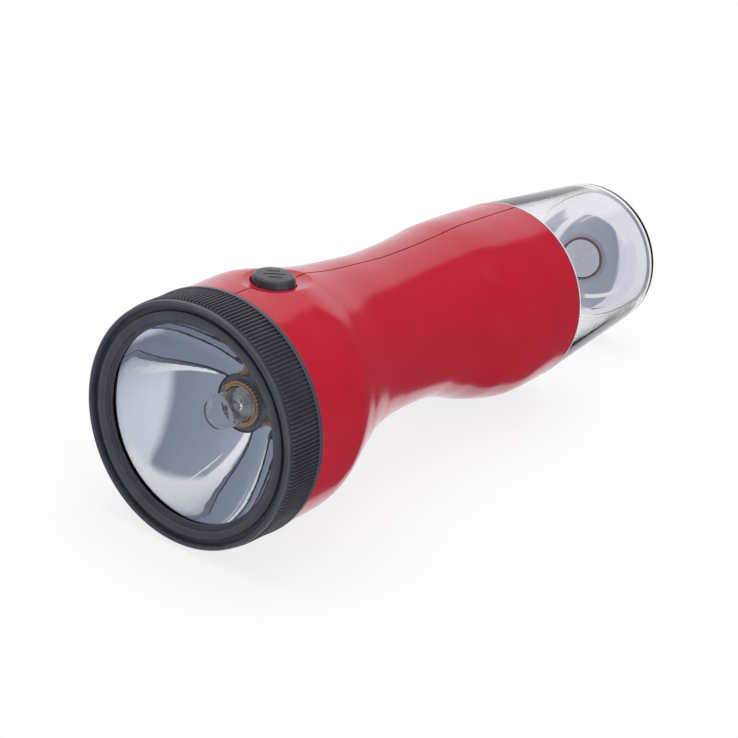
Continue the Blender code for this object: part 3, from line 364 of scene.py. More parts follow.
# Shrunk PVC jacket of a cell: glossy film with slight pulls in it
cellJacket = mouldedPlastic(
    "bluePvcJacket",
    {
        "darker": "#1E3F66", "lighter": "#234A77", "roughness": 0.25, "roughnessDrift": 0.05, "ior": 1.54,
        "driftSize": 12, "waveSize": 6, "waveDepth": 0.05, "grainSize": 1.0, "grainDepth": 0.004,
    },
)


# Metal: drifting roughness and fine marks stretched along one direction
def metal(name, look):
    values = {"Base Color": linearColour(look["colour"]), "Metallic": 1.0}
    material, tree, shader, place = startMaterial(name, values)
    stretched = addNode(tree, "ShaderNodeMapping", {"Vector": place, "Scale": look["stretch"]})
    marks = addNode(
        tree,
        "ShaderNodeTexNoise",
        {"Vector": stretched.outputs["Vector"], "Scale": perMetre(look["markSize"]), "Detail": 4.0},
    )
    gloss = addNode(
        tree,
        "ShaderNodeMapRange",
        {"Value": marks.outputs["Fac"], "To Min": look["roughness"][0], "To Max": look["roughness"][1]},
    )
    tree.links.new(gloss.outputs["Result"], shader.inputs["Roughness"])
    skin = addNode(
        tree,
        "ShaderNodeBump",
        {"Height": marks.outputs["Fac"], "Strength": 1.0, "Distance": look["markDepth"] * mm},
    )
    tree.links.new(skin.outputs["Normal"], shader.inputs["Normal"])
    return material


# Aluminium flashed on moulded plastic under lacquer: a mirror with the moulding's slow ripples
mirrorCoat = metal(
    "metallisedPlastic",
    {
        "colour": "#E9EBEF", "stretch": (1, 1, 1), "markSize": 9, "markDepth": 0.04,
        "roughness": (0.01, 0.04),
    },
)
# Pressed brass: warm yellow, its gloss blurred by fine marks
yellowBrass = metal(
    "pressedBrass",
    {
        "colour": "#F0C68A", "stretch": (1, 1, 1), "markSize": 0.8, "markDepth": 0.01,
        "roughness": (0.25, 0.4),
    },
)
# Tin over brass: a dull silver with a little warmth left in it
tinnedBrass = metal(
    "tinnedBrass",
    {
        "colour": "#CFCBBE", "stretch": (1, 1, 1), "markSize": 0.8, "markDepth": 0.01,
        "roughness": (0.2, 0.35),
    },
)
# Drawn steel wire: plain grey, with marks longer one way than the other
springSteel = metal(
    "drawnSpringSteel",
    {
        "colour": "#B9BBBF", "stretch": (1, 0.2, 1), "markSize": 0.4, "markDepth": 0.004,
        "roughness": (0.2, 0.35),
    },
)
# Tungsten wire: darker and duller than steel
tungsten = metal(
    "drawnTungsten",
    {
        "colour": "#8C8078", "stretch": (1, 1, 1), "markSize": 0.2, "markDepth": 0.002,
        "roughness": (0.3, 0.45),
    },
)


# Clear stuff: full transmission, with a slow ripple of the moulding or blowing in its skin
def clearStuff(name, look):
    values = {
        "Base Color": linearColour(look["colour"]),
        "Roughness": look["roughness"],
        "IOR": look["ior"],
        "Transmission Weight": 1.0,
    }
    material, tree, shader, place = startMaterial(name, values)
    ripple = addNode(
        tree, "ShaderNodeTexNoise", {"Vector": place, "Scale": perMetre(look["rippleSize"]), "Detail": 2.0}
    )
    skin = addNode(
        tree,
        "ShaderNodeBump",
        {"Height": ripple.outputs["Fac"], "Strength": 1.0, "Distance": look["rippleDepth"] * mm},
    )
    tree.links.new(skin.outputs["Normal"], shader.inputs["Normal"])
    # Lamp light goes straight through, so that what lies behind isn't left in the dark
    path = addNode(tree, "ShaderNodeLightPath")
    light = addNode(
        tree, "ShaderNodeMath",
        {0: path.outputs["Is Shadow Ray"], 1: path.outputs["Is Diffuse Ray"]}, operation="MAXIMUM",
    )
    passed = addNode(tree, "ShaderNodeBsdfTransparent", {"Color": linearColour(look["colour"])})
    whole = addNode(
        tree, "ShaderNodeMixShader",
        {0: light.outputs["Value"], 1: shader.outputs["BSDF"], 2: passed.outputs["BSDF"]},
    )
    tree.links.new(whole.outputs["Shader"], tree.nodes["Material Output"].inputs["Surface"])
    return material


# Polystyrene crystal: flat and clear, a few per cent of the room on its face
clearPolystyrene = clearStuff(
    "clearPolystyrene",
    {"colour": "#FCFDFD", "roughness": 0.0, "ior": 1.45, "rippleSize": 14, "rippleDepth": 0.004},
)
# Acrylic of the tail cap: thicker, with moulding ripples that break up the edges behind it
clearAcrylic = clearStuff(
    "clearAcrylic",
    {"colour": "#FAFAFC", "roughness": 0.0, "ior": 1.42, "rippleSize": 6, "rippleDepth": 0.01},
)
# Blown soda glass of the bulb
bulbGlass = clearStuff(
    "blownSodaGlass",
    {"colour": "#FDFDFD", "roughness": 0.0, "ior": 1.5, "rippleSize": 2.5, "rippleDepth": 0.08},
)
# Cast epoxy of the tail lamp: clear, with its skin a little dulled by the mould
clearEpoxy = clearStuff(
    "castEpoxy",
    {"colour": "#F8F9FC", "roughness": 0.05, "ior": 1.5, "rippleSize": 2, "rippleDepth": 0.01},
)
print("materials made")

# Body halves

bodySizes = {
    "radii": (
        (32, 39.6), (36.08, 39.402), (50.02, 34.795), (64.98, 30.004), (80.01, 27.496), (94.02, 26.506),
        (100, 26.4), (109.01, 26.601), (123, 28.3), (138, 31.102), (153, 32.3), (171.5, 31.7),
    ),
    "rises": (
        (21.12, 0), (32, 0.366), (50.02, 3.111), (64.98, 5.185), (80.01, 6.1), (94.02, 5.856),
        (109.01, 5.49), (123, 4.087), (138, 1.891), (153, 0.122), (163.6, 0),
    ),
    "neckStart": 8.7, "neckRadius": 36.0, "neckWall": 1.9, "shoulder": 17.1, "end": 171.5,
    "wall": 2.0, "bore": 29.7, "boreFrom": 148.0, "edge": 0.35, "seamHalf": 0.15, "seamEdge": 0.3,
    "neckThreadStart": 9.7, "neckThreadHeight": 1.2, "boreThreadStart": 162.1, "boreThreadHeight": 0.8,
    "threadReach": 0.21,
}
buttonPlace = 36.6
scoop = {"middle": 38.4, "halfLength": 14.0, "halfWidth": 9.6, "depth": 2.1, "innerShare": 0.6}
hole = {"radius": 7.5, "blendTo": 13.0}


def bodyRadius(place):
    return smoothCurve(bodySizes["radii"], place)


def bodyRise(place):
    return smoothCurve(bodySizes["rises"], place)


# Rows from neck to end as (place, outer radius, inner place, inner radius, has body form)
def bodyRows():
    size = bodySizes
    neck = np.arange(size["neckStart"] + size["edge"], size["shoulder"] - 0.1, 0.28)
    rows = [(size["neckStart"], size["neckRadius"] - size["edge"], 0)]
    rows += [(size["neckStart"] + 0.1, size["neckRadius"] - 0.1, 0)]
    rows += [(place, size["neckRadius"], 0) for place in neck]
    rows += [(size["shoulder"], size["neckRadius"], 0)]
    top = size["radii"][0][1]
    edge = size["edge"]
    for angle in np.linspace(0, math.pi / 2, 6):
        shoulder = size["shoulder"] + edge * (1 - math.cos(angle))
        rows.append((shoulder, top - edge * (1 - math.sin(angle)), 0))
    low, high = buttonPlace - hole["radius"], buttonPlace + hole["radius"]
    places = np.concatenate([
        np.arange(18.3, 22.5, 1.0),
        np.linspace(23.0, low, 18, endpoint=False),
        np.linspace(low, high, 43, endpoint=False),
        np.linspace(high, 56.0, 34, endpoint=False),
        np.linspace(56.0, 156.0, 70, endpoint=False),
        np.linspace(156.0, size["end"] - edge, 56),
    ])
    rows += [(place, float(bodyRadius(place)), 1) for place in places]
    last = float(bodyRadius(size["end"]))
    for angle in np.linspace(0.3, math.pi / 2, 5):
        lip = size["end"] - edge * (1 - math.sin(angle))
        rows.append((lip, last - edge * (1 - math.cos(angle)), 1))
    return np.array(rows)


def innerRadius(place):
    size = bodySizes
    neckBore = size["neckRadius"] - size["neckWall"]
    flare = np.interp(place, (19.1, 22.6), (neckBore, size["radii"][0][1] - size["wall"]))
    belly = bodyRadius(place) - size["wall"]
    tail = np.minimum(belly, size["bore"])
    inner = np.where(place < 22.6, flare, np.where(place > size["boreFrom"], tail, belly))
    lip = np.clip((place - (size["end"] - size["edge"])) / size["edge"], 0, 1)
    return inner + size["edge"] * (1 - np.sqrt(1 - lip**2))


# One half as a closed wall. Columns run down one side from the top seam to the bottom seam. Round the
# button a square of the grid is drawn in to a circle, scaled by its half width over its distance from
# the button's axis, and what lies inside the circle is left out.
def bodyHalf(name, side):
    size = bodySizes
    rows = bodyRows()
    edgeSteps = np.array([0, 0.02, 0.06, 0.12, 0.2, 0.3])
    topArc = np.concatenate([
        size["seamHalf"] + edgeSteps,
        np.linspace(0.75, hole["radius"], 20),
        np.linspace(hole["radius"], hole["blendTo"], 17)[1:],
    ])
    bottomArc = (size["seamHalf"] + edgeSteps)[::-1]
    middleShares = np.linspace(0, 1, 84)[1:-1]
    columns = len(topArc) + len(middleShares) + len(bottomArc)

    def angles(radius):
        topAngle = topArc[None, :] / radius
        bottomAngle = math.pi - bottomArc[None, :] / radius
        start, end = topAngle[:, -1:], bottomAngle[:, :1]
        return np.concatenate([topAngle, start + (end - start) * middleShares[None, :], bottomAngle], 1)

    place = np.repeat(rows[:, :1], columns, 1)
    radius = np.repeat(rows[:, 1:2], columns, 1)
    angle = angles(rows[:, 1:2])
    nominal = np.concatenate([topArc, np.full(columns - len(topArc), 1e3)])[None, :]
    fromButton = place - buttonPlace
    square = np.maximum(nominal, np.abs(fromButton))
    distance = np.hypot(nominal, fromButton)
    keep = smoothStep(hole["radius"], hole["blendTo"], square)
    scale = np.where(square < hole["blendTo"], square / distance * (1 - keep) + keep, 1)
    near = (square < hole["blendTo"]) & (rows[:, 2:3] > 0)
    place = np.where(near, buttonPlace + fromButton * scale, place)
    radius = np.where(near, bodyRadius(place), radius)
    angle = np.where(near, np.arcsin(np.clip(nominal * scale / radius, -1, 1)), angle)

    def dish(sideways, at):
        apart = (sideways / scoop["halfWidth"]) ** 2 + ((at - scoop["middle"]) / scoop["halfLength"]) ** 2
        return scoop["depth"] * np.clip(1 - apart, 0, 1)

    fromSeam = np.concatenate([topArc, np.full(len(middleShares), 9.0), bottomArc]) - size["seamHalf"]
    inside = np.clip(1 - fromSeam / size["seamEdge"], 0, 1)
    seamDrop = size["seamEdge"] * (1 - np.sqrt(1 - inside**2)) * 0.6
    spans = {1: ((-1.0,), (-1.0,)), -1: ((-0.5, -1.5), (-0.5, -1.5))}[side]
    reach = size["threadReach"]
    screwAngle = side * angle
    neckRidge = ridgeRise(
        screwAngle, place, size["neckThreadStart"], [(middle, reach) for middle in spans[0]],
        size["neckThreadHeight"],
    )
    boreRidge = ridgeRise(
        screwAngle, place, size["boreThreadStart"], [(middle, reach) for middle in spans[1]],
        size["boreThreadHeight"],
    )
    outer = radius + np.where(rows[:, 2:3] > 0, 0, neckRidge) - seamDrop[None, :]
    inner = innerRadius(place) - np.where(place > size["boreFrom"], boreRidge, 0)
    onTop = angle < math.pi / 2
    rise = bodyRise(place)
    walls = []
    for wallRadius, share in ((outer, 1.0), (inner, scoop["innerShare"])):
        sideways = wallRadius * np.sin(angle)
        up = rise + wallRadius * np.cos(angle)
        up = up - np.where(onTop & (rows[:, 2:3] > 0), share * dish(sideways, place), 0)
        walls.append(np.stack([side * sideways, up, place], -1))
    count = len(rows)
    points = np.concatenate(walls)
    holeColumn = int(np.argmin(np.abs(topArc - hole["radius"])))
    low, high = buttonPlace - hole["radius"], buttonPlace + hole["radius"]
    firstRow = int(np.argmin(np.abs(rows[:, 0] - low) + (rows[:, 2] == 0)))
    lastRow = int(np.argmin(np.abs(rows[:, 0] - high) + (rows[:, 2] == 0)))
    index = np.arange(2 * count * columns).reshape(2, count, columns)
    atHole = np.zeros((count - 1, columns - 1), bool)
    atHole[firstRow:lastRow, :holeColumn] = True
    faces = []
    for wall in (0, 1):
        quads = gridFaces(count, columns, closedColumns=False, first=wall * count * columns)
        faces.append(quads[~atHole.ravel()])

    def bridge(outerLine, innerLine):
        return np.stack([outerLine[:-1], outerLine[1:], innerLine[1:], innerLine[:-1]], -1)

    for part in (slice(0, firstRow + 1), slice(lastRow, count)):
        faces.append(bridge(index[0, part, 0], index[1, part, 0]))
    faces.append(bridge(index[0, :, -1], index[1, :, -1]))
    for row in (0, -1):
        faces.append(bridge(index[0, row, :], index[1, row, :]))
    rim = [
        index[:, firstRow, : holeColumn + 1],
        index[:, firstRow : lastRow + 1, holeColumn],
        index[:, lastRow, : holeColumn + 1],
    ]
    for line in rim:
        faces.append(bridge(line[0], line[1]))
    return makePiece(
        name, points, np.concatenate(faces), redAbs, "torch_body",
        ("left_shell" if side > 0 else "right_shell",), 30,
    )


bodyHalf("bodyHalfLeft", 1)
bodyHalf("bodyHalfRight", -1)
print("body halves made")

# Bezel ring

ringSizes = {
    "ribs": 184, "ribParts": (-0.34, -0.17, -0.09, 0.09, 0.17, 0.34), "ribRises": (0, 0.7, 1, 1, 0.7, 0),
    "ribHeight": 0.85, "rootRadius": 39.15, "ribStart": 2.3, "ribEnd": 14.9, "ribRounding": 1.0,
    "bore": 37.9, "length": 16.8, "threadHeight": 1.3, "threadTurns": 1.4, "threadMargin": 1.0,
    "lipRadius": 39.6, "lipFlat": 39.0, "lipEnd": 1.7, "stepRadius": 38.75, "flangeRadius": 40.2,
    "flangeEdge": 0.35, "grooveRim": 38.1, "grooveFoot": 37.9, "grooveDepth": 2.0, "crownOuter": 36.3,
    "crownInner": 33.4, "crownDrop": 0.7, "window": 31.8, "ledgeFront": 2.5, "ledgeBack": 3.3,
    "pocket": 36.9, "borePlace": 6.6,
}


def bezelRing():
    size = ringSizes
    root = size["rootRadius"]
    # From the groove over the lip to the foot of the ribs, then from the flange back through the bore,
    # the lens's pocket, the ledge and the crown to the groove
    front = [
        (size["grooveFoot"], size["grooveDepth"], 0.15), (size["grooveRim"], 0, 0.35),
        (size["lipFlat"], 0, 0.5), (size["lipRadius"], 0.6, 0.4), (size["lipRadius"], size["lipEnd"], 0.2),
        (size["stepRadius"], 1.95, 0.05), (size["stepRadius"], 2.25, 0),
    ]
    back = [
        (root, size["ribEnd"], 0), (size["flangeRadius"], size["ribEnd"], 0.25),
        (size["flangeRadius"], size["length"] - size["flangeEdge"], 0.3),
        (size["flangeRadius"] - size["flangeEdge"], size["length"], 0.1),
        (size["bore"], size["length"], 0.2), (size["bore"], size["borePlace"], 0),
        (size["pocket"], 6.3, 0), (size["pocket"], size["ledgeBack"], 0),
        (size["window"], size["ledgeBack"], 0.15), (size["window"], size["ledgeFront"], 0.2),
        (33.3, size["ledgeFront"], 0.3), (size["crownInner"], size["crownDrop"], 0.75),
        (size["crownOuter"], size["crownDrop"], 0.75), (size["crownOuter"], size["grooveDepth"], 0.15),
        (size["grooveFoot"], size["grooveDepth"], 0),
    ]
    frontLine = roundedLine(front, arcPoints=4)
    ribPlaces = size["ribStart"] + size["ribRounding"] * np.array([0, 0.03, 0.12, 0.3, 0.6, 1.0])
    ribPlaces = np.concatenate([ribPlaces, [6, 10, size["ribEnd"]]])
    ribLine = np.stack([np.full(len(ribPlaces), root), ribPlaces], -1)
    backLine = roundedLine(back, arcPoints=5)[1:]
    atBore = int(np.argmax((backLine[:, 0] <= size["bore"]) & (backLine[:, 1] < 16.5)))
    threadPart = refined(backLine[atBore : atBore + 2], 0.42)
    backLine = np.concatenate([backLine[:atBore], threadPart, backLine[atBore + 2 :]])
    line = np.concatenate([frontLine, ribLine, backLine])
    pitch = fullTurn / size["ribs"]
    angles = (np.arange(size["ribs"])[:, None] + np.array(size["ribParts"])[None, :]).ravel() * pitch
    crest = np.tile(size["ribRises"], size["ribs"])
    along = np.zeros(len(line))
    started = (line[:, 1] - size["ribStart"]) / size["ribRounding"]
    inRibs = np.arange(len(line))
    isRib = (inRibs >= len(frontLine)) & (inRibs < len(frontLine) + len(ribLine))
    along[isRib] = np.sqrt(1 - (1 - np.clip(started[isRib], 0, 1)) ** 2)
    smooth, angle, place = spreadLine(line, angles)
    radius = smooth + size["ribHeight"] * along[:, None] * crest[None, :]
    reach = size["threadMargin"] + screw["baseWidth"] / 2 + size["threadTurns"] * screw["pitch"]
    ridge = matchingRidge(angle, place, size["length"] - reach, bodySizes["neckThreadStart"], size)
    onBore = (np.abs(line[:, 0] - size["bore"]) < 0.01) & (line[:, 1] > 7) & (line[:, 1] < 16.3)
    radius = radius - np.where(onBore[:, None], ridge, 0)
    points = aroundAxis(radius, angle, place)
    faces = gridFaces(len(line), len(angles), closedRows=True)
    makePiece(
        "bezelRibbedRing", points, faces, coalNylon, "bezel", ("bezel_ring",), 40
    )


bezelRing()
print("bezel made")

# Lens, gasket and reflector

lens = {"radius": 36.6, "front": 3.6, "back": 5.6, "edge": 0.2, "step": 9.0}
gasket = {"outer": 36.5, "inner": 33.7, "front": 5.95, "back": 6.85, "edge": 0.3}
lensLine = roundedLine([
    (0, lens["front"], 0), (lens["radius"], lens["front"], lens["edge"]),
    (lens["radius"], lens["back"], lens["edge"]), (0, lens["back"], 0),
], arcPoints=3)
turnedPiece(
    "frontLens", refined(lensLine, lens["step"]), 180, clearPolystyrene, "lens_pack",
    ("front_lens",),
)
turnedPiece(
    "lensGasket", ringLine(gasket, 4), 160, blackRubber, "lens_pack", ("lens_gasket",)
)
reflectorSizes = {
    "flangePlace": 7.2, "flangeEnd": 8.4, "flangeRadius": 35.8, "mouthRadius": 32.2, "mouthPlace": 5.75,
    "throatRadius": 9.6, "throatPlace": 28.0, "neckEnd": 31.0, "wall": 1.2, "points": 56, "lipWall": 0.4,
}


# The bowl is a paraboloid: the depth left falls with the square of the radius, from mouth to throat.
# Its mouth is a thin lip that stands inside the gasket, up to the lens.
def reflectorPiece():
    size = reflectorSizes
    radii = np.linspace(size["throatRadius"], size["mouthRadius"], size["points"])
    mouth, throat = size["mouthRadius"], size["throatRadius"]
    share = (mouth**2 - radii**2) / (mouth**2 - throat**2)
    places = size["mouthPlace"] + share * (size["throatPlace"] - size["mouthPlace"])
    bowl = np.stack([radii, places], -1)
    behind = bowl[places > size["flangeEnd"]]
    back = (behind + np.array([size["wall"], 0]))[::-1]
    lipRadius = size["mouthRadius"] + size["lipWall"]
    flange = np.array([
        (lipRadius, size["mouthPlace"]), (lipRadius, size["flangePlace"]),
        (size["flangeRadius"], size["flangePlace"]), (size["flangeRadius"], size["flangeEnd"]),
        (behind[-1, 0] + size["wall"], size["flangeEnd"]),
    ])
    neck = np.array([
        (size["throatRadius"] + size["wall"], size["neckEnd"]), (size["throatRadius"], size["neckEnd"]),
    ])
    line = np.concatenate([flange, back, neck, bowl])
    turnedPiece(
        "paraboloidReflector", line, 256, mirrorCoat, "torch_body", ("reflector",), 40
    )


reflectorPiece()
print("lens and reflector made")

# Bulb, collar and holder

bulbSizes = {
    "radius": 5.65, "wall": 0.55, "front": 15.0, "end": 28.3, "leadHalf": 1.5, "filamentPlace": 20.5,
}


def bulbPieces():
    size = bulbSizes
    outer = roundedLine(
        [
            (0, size["front"], 0), (3.0, size["front"] + 0.25, 2.0), (5.3, size["front"] + 0.9, 1.0),
            (size["radius"], size["front"] + 2.6, 1.5), (size["radius"], size["end"], 0),
        ],
        arcPoints=8,
    )
    inside = size["radius"] - size["wall"]
    inner = roundedLine(
        [(inside, size["end"], 0), (inside, 18.0, 1.2), (4.6, 16.9, 1.0), (2.6, 16.5, 1.5), (0, 16.4, 0)],
        arcPoints=8,
    )
    turnedPiece(
        "bulbGlassTube", np.concatenate([outer, inner]), 96, bulbGlass, "torch_body",
        ("bulb_glass",), 50,
    )
    base = roundedLine([
        (0, 28.6, 0), (3.2, 28.6, 0.3), (6.8, 28.6, 0.15), (6.8, 29.1, 0.15), (4.7, 29.1, 0.2),
        (4.7, 41.3, 0.4), (1.8, 41.3, 0.2), (1.8, 43.3, 0.6), (0, 43.3, 0),
    ])
    turnedPiece("bulbScrewlessBase", base, 72, tinnedBrass, "torch_body", ("bulb_base",))
    # Two leads bowed a little outwards, and a fine coil between their tips
    turns, half, coilRadius = 9, size["leadHalf"], 0.28
    t = np.linspace(0, 1, turns * 14 + 1)
    coil = np.stack([
        half * (2 * t - 1), coilRadius * np.sin(t * turns * fullTurn),
        size["filamentPlace"] - coilRadius * np.cos(t * turns * fullTurn) + 0.5 * (2 * t - 1) ** 2,
    ], -1)
    lift = np.linspace(0, 1, 12)[:, None]
    foot = np.array([-1.1, 0.0, 28.3])
    tip = coil[0]
    leadIn = foot + (tip - foot) * lift + np.array([-0.5, 0, 0]) * np.sin(lift * math.pi)
    leadOut = leadIn[::-1] * np.array([-1, 1, 1])
    leadOut[0] = coil[-1]
    path = np.concatenate([leadIn[:-1], coil, leadOut[1:]])
    tubePiece(
        "bulbFilamentCoil", path, 0.12, 8, np.array([0.0, 1.0, 0.02]), tungsten, "torch_body",
        ("bulb_filament",),
    )
    bead = roundedLine([(0, 24.8, 0), (1.9, 24.8, 0.8), (1.9, 26.6, 0.8), (0, 26.6, 0)])
    turnedPiece("bulbLeadBead", bead, 40, bulbGlass, "torch_body")


bulbPieces()
holderLine = roundedLine([
    (7.1, 28.3, 0.1), (9.3, 28.3, 0.3), (9.3, 31.3, 0), (11.0, 31.3, 0.2), (11.0, 32.8, 0.2),
    (7.4, 32.8, 0.3), (7.4, 38.0, 0.3), (5.0, 38.0, 0.2), (5.0, 29.4, 0), (7.1, 29.4, 0),
], closed=True, arcPoints=4)
turnedPiece("bulbHolder", holderLine, 96, greyAbs, "torch_body", ("bulb_holder",))

collarSizes = {"teeth": 36, "toothDepth": 0.4, "samples": 8}


# Brass ring with two raised rims and a groove between; its outer rim is cut into rounded teeth
def collarPiece():
    size = collarSizes
    line = roundedLine([
        (5.95, 26.75, 0.1), (6.15, 26.45, 0.15), (6.5, 26.45, 0.15), (6.65, 27.2, 0.15), (7.1, 27.2, 0.15),
        (7.25, 26.6, 0.1), (7.7, 26.6, 0.1), (7.7, 28.0, 0.1), (5.95, 28.0, 0),
    ], closed=True, arcPoints=4)
    steps = size["teeth"] * size["samples"]
    angles = evenAngles(steps)
    wave = 0.5 - 0.5 * np.cos(angles * size["teeth"])
    teeth = np.clip(wave * 1.6 - 0.3, 0, 1)
    atRim = smoothStep(7.15, 7.45, line[:, 0])
    smooth, angle, place = spreadLine(line, angles)
    radius = smooth - size["toothDepth"] * atRim[:, None] * teeth[None, :]
    points = aroundAxis(radius, angle, place)
    faces = gridFaces(len(line), steps, closedRows=True)
    makePiece("bulbBrassCollar", points, faces, yellowBrass, "torch_body", ("bulb_collar",), 40)


collarPiece()
print("bulb made")

# Button

buttonSizes = {
    "top": 41.0, "topRadius": 6.6, "bars": ((0.0, 6.8), (-2.5, 4.2), (2.5, 4.2)), "barWidth": 0.75,
    "barDepth": 0.4, "barTurn": 45.0, "columns": 288, "crown": 0.25, "radius": 7.2, "skirtTop": 4.4,
    "skirtRadius": 8.2, "skirtEnd": 5.4, "stemRadius": 3.0, "stemEnd": 11.0,
}


# The button is turned about its own upright axis; its top is pressed in along three plain grip bars,
# each a rounded slot: the distance to the bar's line sets the depth
def buttonPiece():
    size = buttonSizes
    down = roundedLine([
        (0, 0, 0), (size["topRadius"] - 0.6, 0, 0), (size["topRadius"], 0.5, 0.5),
        (size["radius"], 3.1, 0.3), (size["radius"], size["skirtTop"], 0),
        (size["skirtRadius"], size["skirtTop"], 0.15), (size["skirtRadius"], size["skirtEnd"], 0.15),
        (size["stemRadius"], size["skirtEnd"], 0), (size["stemRadius"], size["stemEnd"], 0.3),
        (0, size["stemEnd"], 0),
    ])
    flat = int(np.argmax(down[:, 0] > 5.9))
    topRows = np.stack([np.linspace(0, down[flat, 0], 60, endpoint=False), np.zeros(60)], -1)
    line = np.concatenate([topRows, down[flat:]])
    angles = evenAngles(size["columns"])
    radius, angle, drop = spreadLine(line, angles)
    sideways, along = radius * np.sin(angle), radius * np.cos(angle)
    turn = math.radians(size["barTurn"])
    # The bars' own axes: one along them, one across
    onBar = sideways * math.sin(turn) + along * math.cos(turn)
    acrossBar = sideways * math.cos(turn) - along * math.sin(turn)
    pressed = np.zeros_like(radius)
    slotEdge = size["barWidth"] / 2
    for offset, length in size["bars"]:
        beyond = np.maximum(np.abs(onBar) - (length - size["barWidth"]) / 2, 0)
        distance = np.hypot(beyond, acrossBar - offset)
        pressed = np.maximum(pressed, 1 - smoothStep(slotEdge - 0.15, slotEdge + 0.1, distance))
    crown = size["crown"] * (1 - np.clip(radius / size["topRadius"], 0, 1) ** 2)
    onTop = np.arange(len(line))[:, None] < len(topRows)
    drop = drop + np.where(onTop, size["barDepth"] * pressed - crown, 0)
    points = np.stack([sideways, size["top"] - drop, buttonPlace + along], -1)
    faces = gridFaces(len(line), len(angles))
    makePiece("pushButton", points, faces, buttonAcetal, "button", ("push_button",), 35)


buttonPiece()
print("button made")

# Tail

tailSizes = {
    "capFront": 171.8, "capFrontRadius": 31.5, "capEnd": 230.6, "capEndRadius": 25.8, "capWall": 1.6,
    "neckRadius": 28.2, "neckStart": 158.2, "threadHeight": 1.1, "threadTurns": 1.4, "threadMargin": 1.2,
    "domeRadius": 23.2, "domeHeight": 16.0, "domeBase": 227.7, "domeWall": 0.9, "brimWidth": 0.6,
    "brimHeight": 0.3,
}


def capPiece():
    size = tailSizes
    bore = size["neckRadius"] - size["capWall"]

    def wallRadius(place):
        share = (place - size["capFront"]) / (size["capEnd"] - size["capFront"])
        return size["capFrontRadius"] + share * (size["capEndRadius"] - size["capFrontRadius"])

    end, wall = size["capEnd"], size["capWall"]
    corners = [
        (0, end - wall, 0), (wallRadius(end) - wall - 0.2, end - wall, 1.2),
        (size["capFrontRadius"] - wall, size["capFront"] + wall, 0.6), (bore, size["capFront"] - 1.5, 0.6),
        (bore, size["neckStart"], 0.2), (size["neckRadius"], size["neckStart"], 0.2),
        (size["neckRadius"], size["capFront"], 0.1), (size["capFrontRadius"], size["capFront"], 0.3),
        (wallRadius(end), end, 2.6), (0, end, 0),
    ]
    line = roundedLine(corners, arcPoints=10)
    onNeck = np.abs(line[:, 0] - size["neckRadius"]) < 0.01
    first = int(np.argmax(onNeck & (line[:, 1] > size["neckStart"] + 0.1)))
    neckPart = refined(line[first : first + 2], 0.3)
    line = np.concatenate([line[:first], neckPart, line[first + 2 :]])
    angles = evenAngles(224)
    radius, angle, place = spreadLine(line, angles)
    start = size["neckStart"] + size["threadMargin"] + screw["baseWidth"] / 2
    ridge = matchingRidge(angle, place, start, bodySizes["boreThreadStart"], size)
    neckRows = (np.abs(line[:, 0] - size["neckRadius"]) < 0.01) & (line[:, 1] > size["neckStart"] + 0.3)
    radius = radius + np.where(neckRows[:, None] & (place < 168), ridge, 0)
    points = aroundAxis(radius, angle, place)
    faces = gridFaces(len(line), len(angles))
    makePiece("clearTailCap", points, faces, clearAcrylic, "tail_cap", ("rear_cap",), 40)


capPiece()


# Half an ellipsoid with a thin wall, its tip towards the bulb's end, on a narrow brim
def domePiece():
    size = tailSizes
    turn = np.linspace(0, math.pi / 2, 40)
    wall = size["domeWall"]

    def shell(radius, height):
        return np.stack([radius * np.sin(turn), size["domeBase"] - height * np.cos(turn)], -1)

    outside = shell(size["domeRadius"], size["domeHeight"])
    inside = shell(size["domeRadius"] - wall, size["domeHeight"] - wall)[::-1]
    brimRadius, brimEnd = size["domeRadius"] + size["brimWidth"], size["domeBase"] + size["brimHeight"]
    brim = np.array([
        (brimRadius, size["domeBase"]), (brimRadius, brimEnd), (size["domeRadius"] - wall, brimEnd),
    ])
    line = np.concatenate([outside, brim, inside])
    turnedPiece("mirrorDome", line, 224, mirrorCoat, "cap_carrier", ("dome_reflector",), 40)


domePiece()
seal = {"outer": 29.4, "inner": 28.5, "front": 168.75, "back": 169.65, "edge": 0.44}
turnedPiece(
    "capSealRing", ringLine(seal, 6), 160, blackRubber, "cap_carrier", ("cap_seal",)
)

plateSizes = {
    "radius": 24.4, "edge": 0.2, "front": 173.6, "top": 174.8, "pips": 12, "pipRing": 19.0,
    "pipRadius": 0.85, "pipHeight": 0.5, "seatHeight": 1.2,
}


# The plate's face rises into small round pips on one circle and one raised seat in the middle
def platePiece():
    size = plateSizes
    angles = evenAngles(264)
    radii = np.concatenate([
        np.linspace(0, 5.2, 14, endpoint=False), np.linspace(5.2, 17.6, 12, endpoint=False),
        np.linspace(17.6, 20.4, 20, endpoint=False), np.linspace(20.4, 24.1, 8),
    ])
    top = np.stack([radii, np.full(len(radii), size["top"])], -1)[::-1]
    edge = size["edge"]
    rest = np.array([
        (0, size["front"]), (size["radius"] - edge, size["front"]), (size["radius"], size["front"] + edge),
        (size["radius"], size["top"] - 0.3),
    ])
    line = np.concatenate([rest, top])
    radius, angle, place = spreadLine(line, angles)
    nearest = np.round(angle / fullTurn * size["pips"]) * fullTurn / size["pips"]
    outward, sideways = radius * np.cos(angle - nearest), radius * np.sin(angle - nearest)
    distance = np.hypot(outward - size["pipRing"], sideways)
    pips = size["pipHeight"] * (1 - smoothStep(size["pipRadius"] - 0.35, size["pipRadius"], distance))
    seat = size["seatHeight"] * (1 - smoothStep(4.1, 4.5, radius))
    onTop = np.arange(len(line))[:, None] >= len(rest)
    place = place + np.where(onTop, pips + seat, 0)
    points = aroundAxis(radius, angle, place)
    makePiece(
        "lampPlate", points, gridFaces(len(line), len(angles)), whiteAbs, "torch_body",
        ("lamp_plate",), 40,
    )


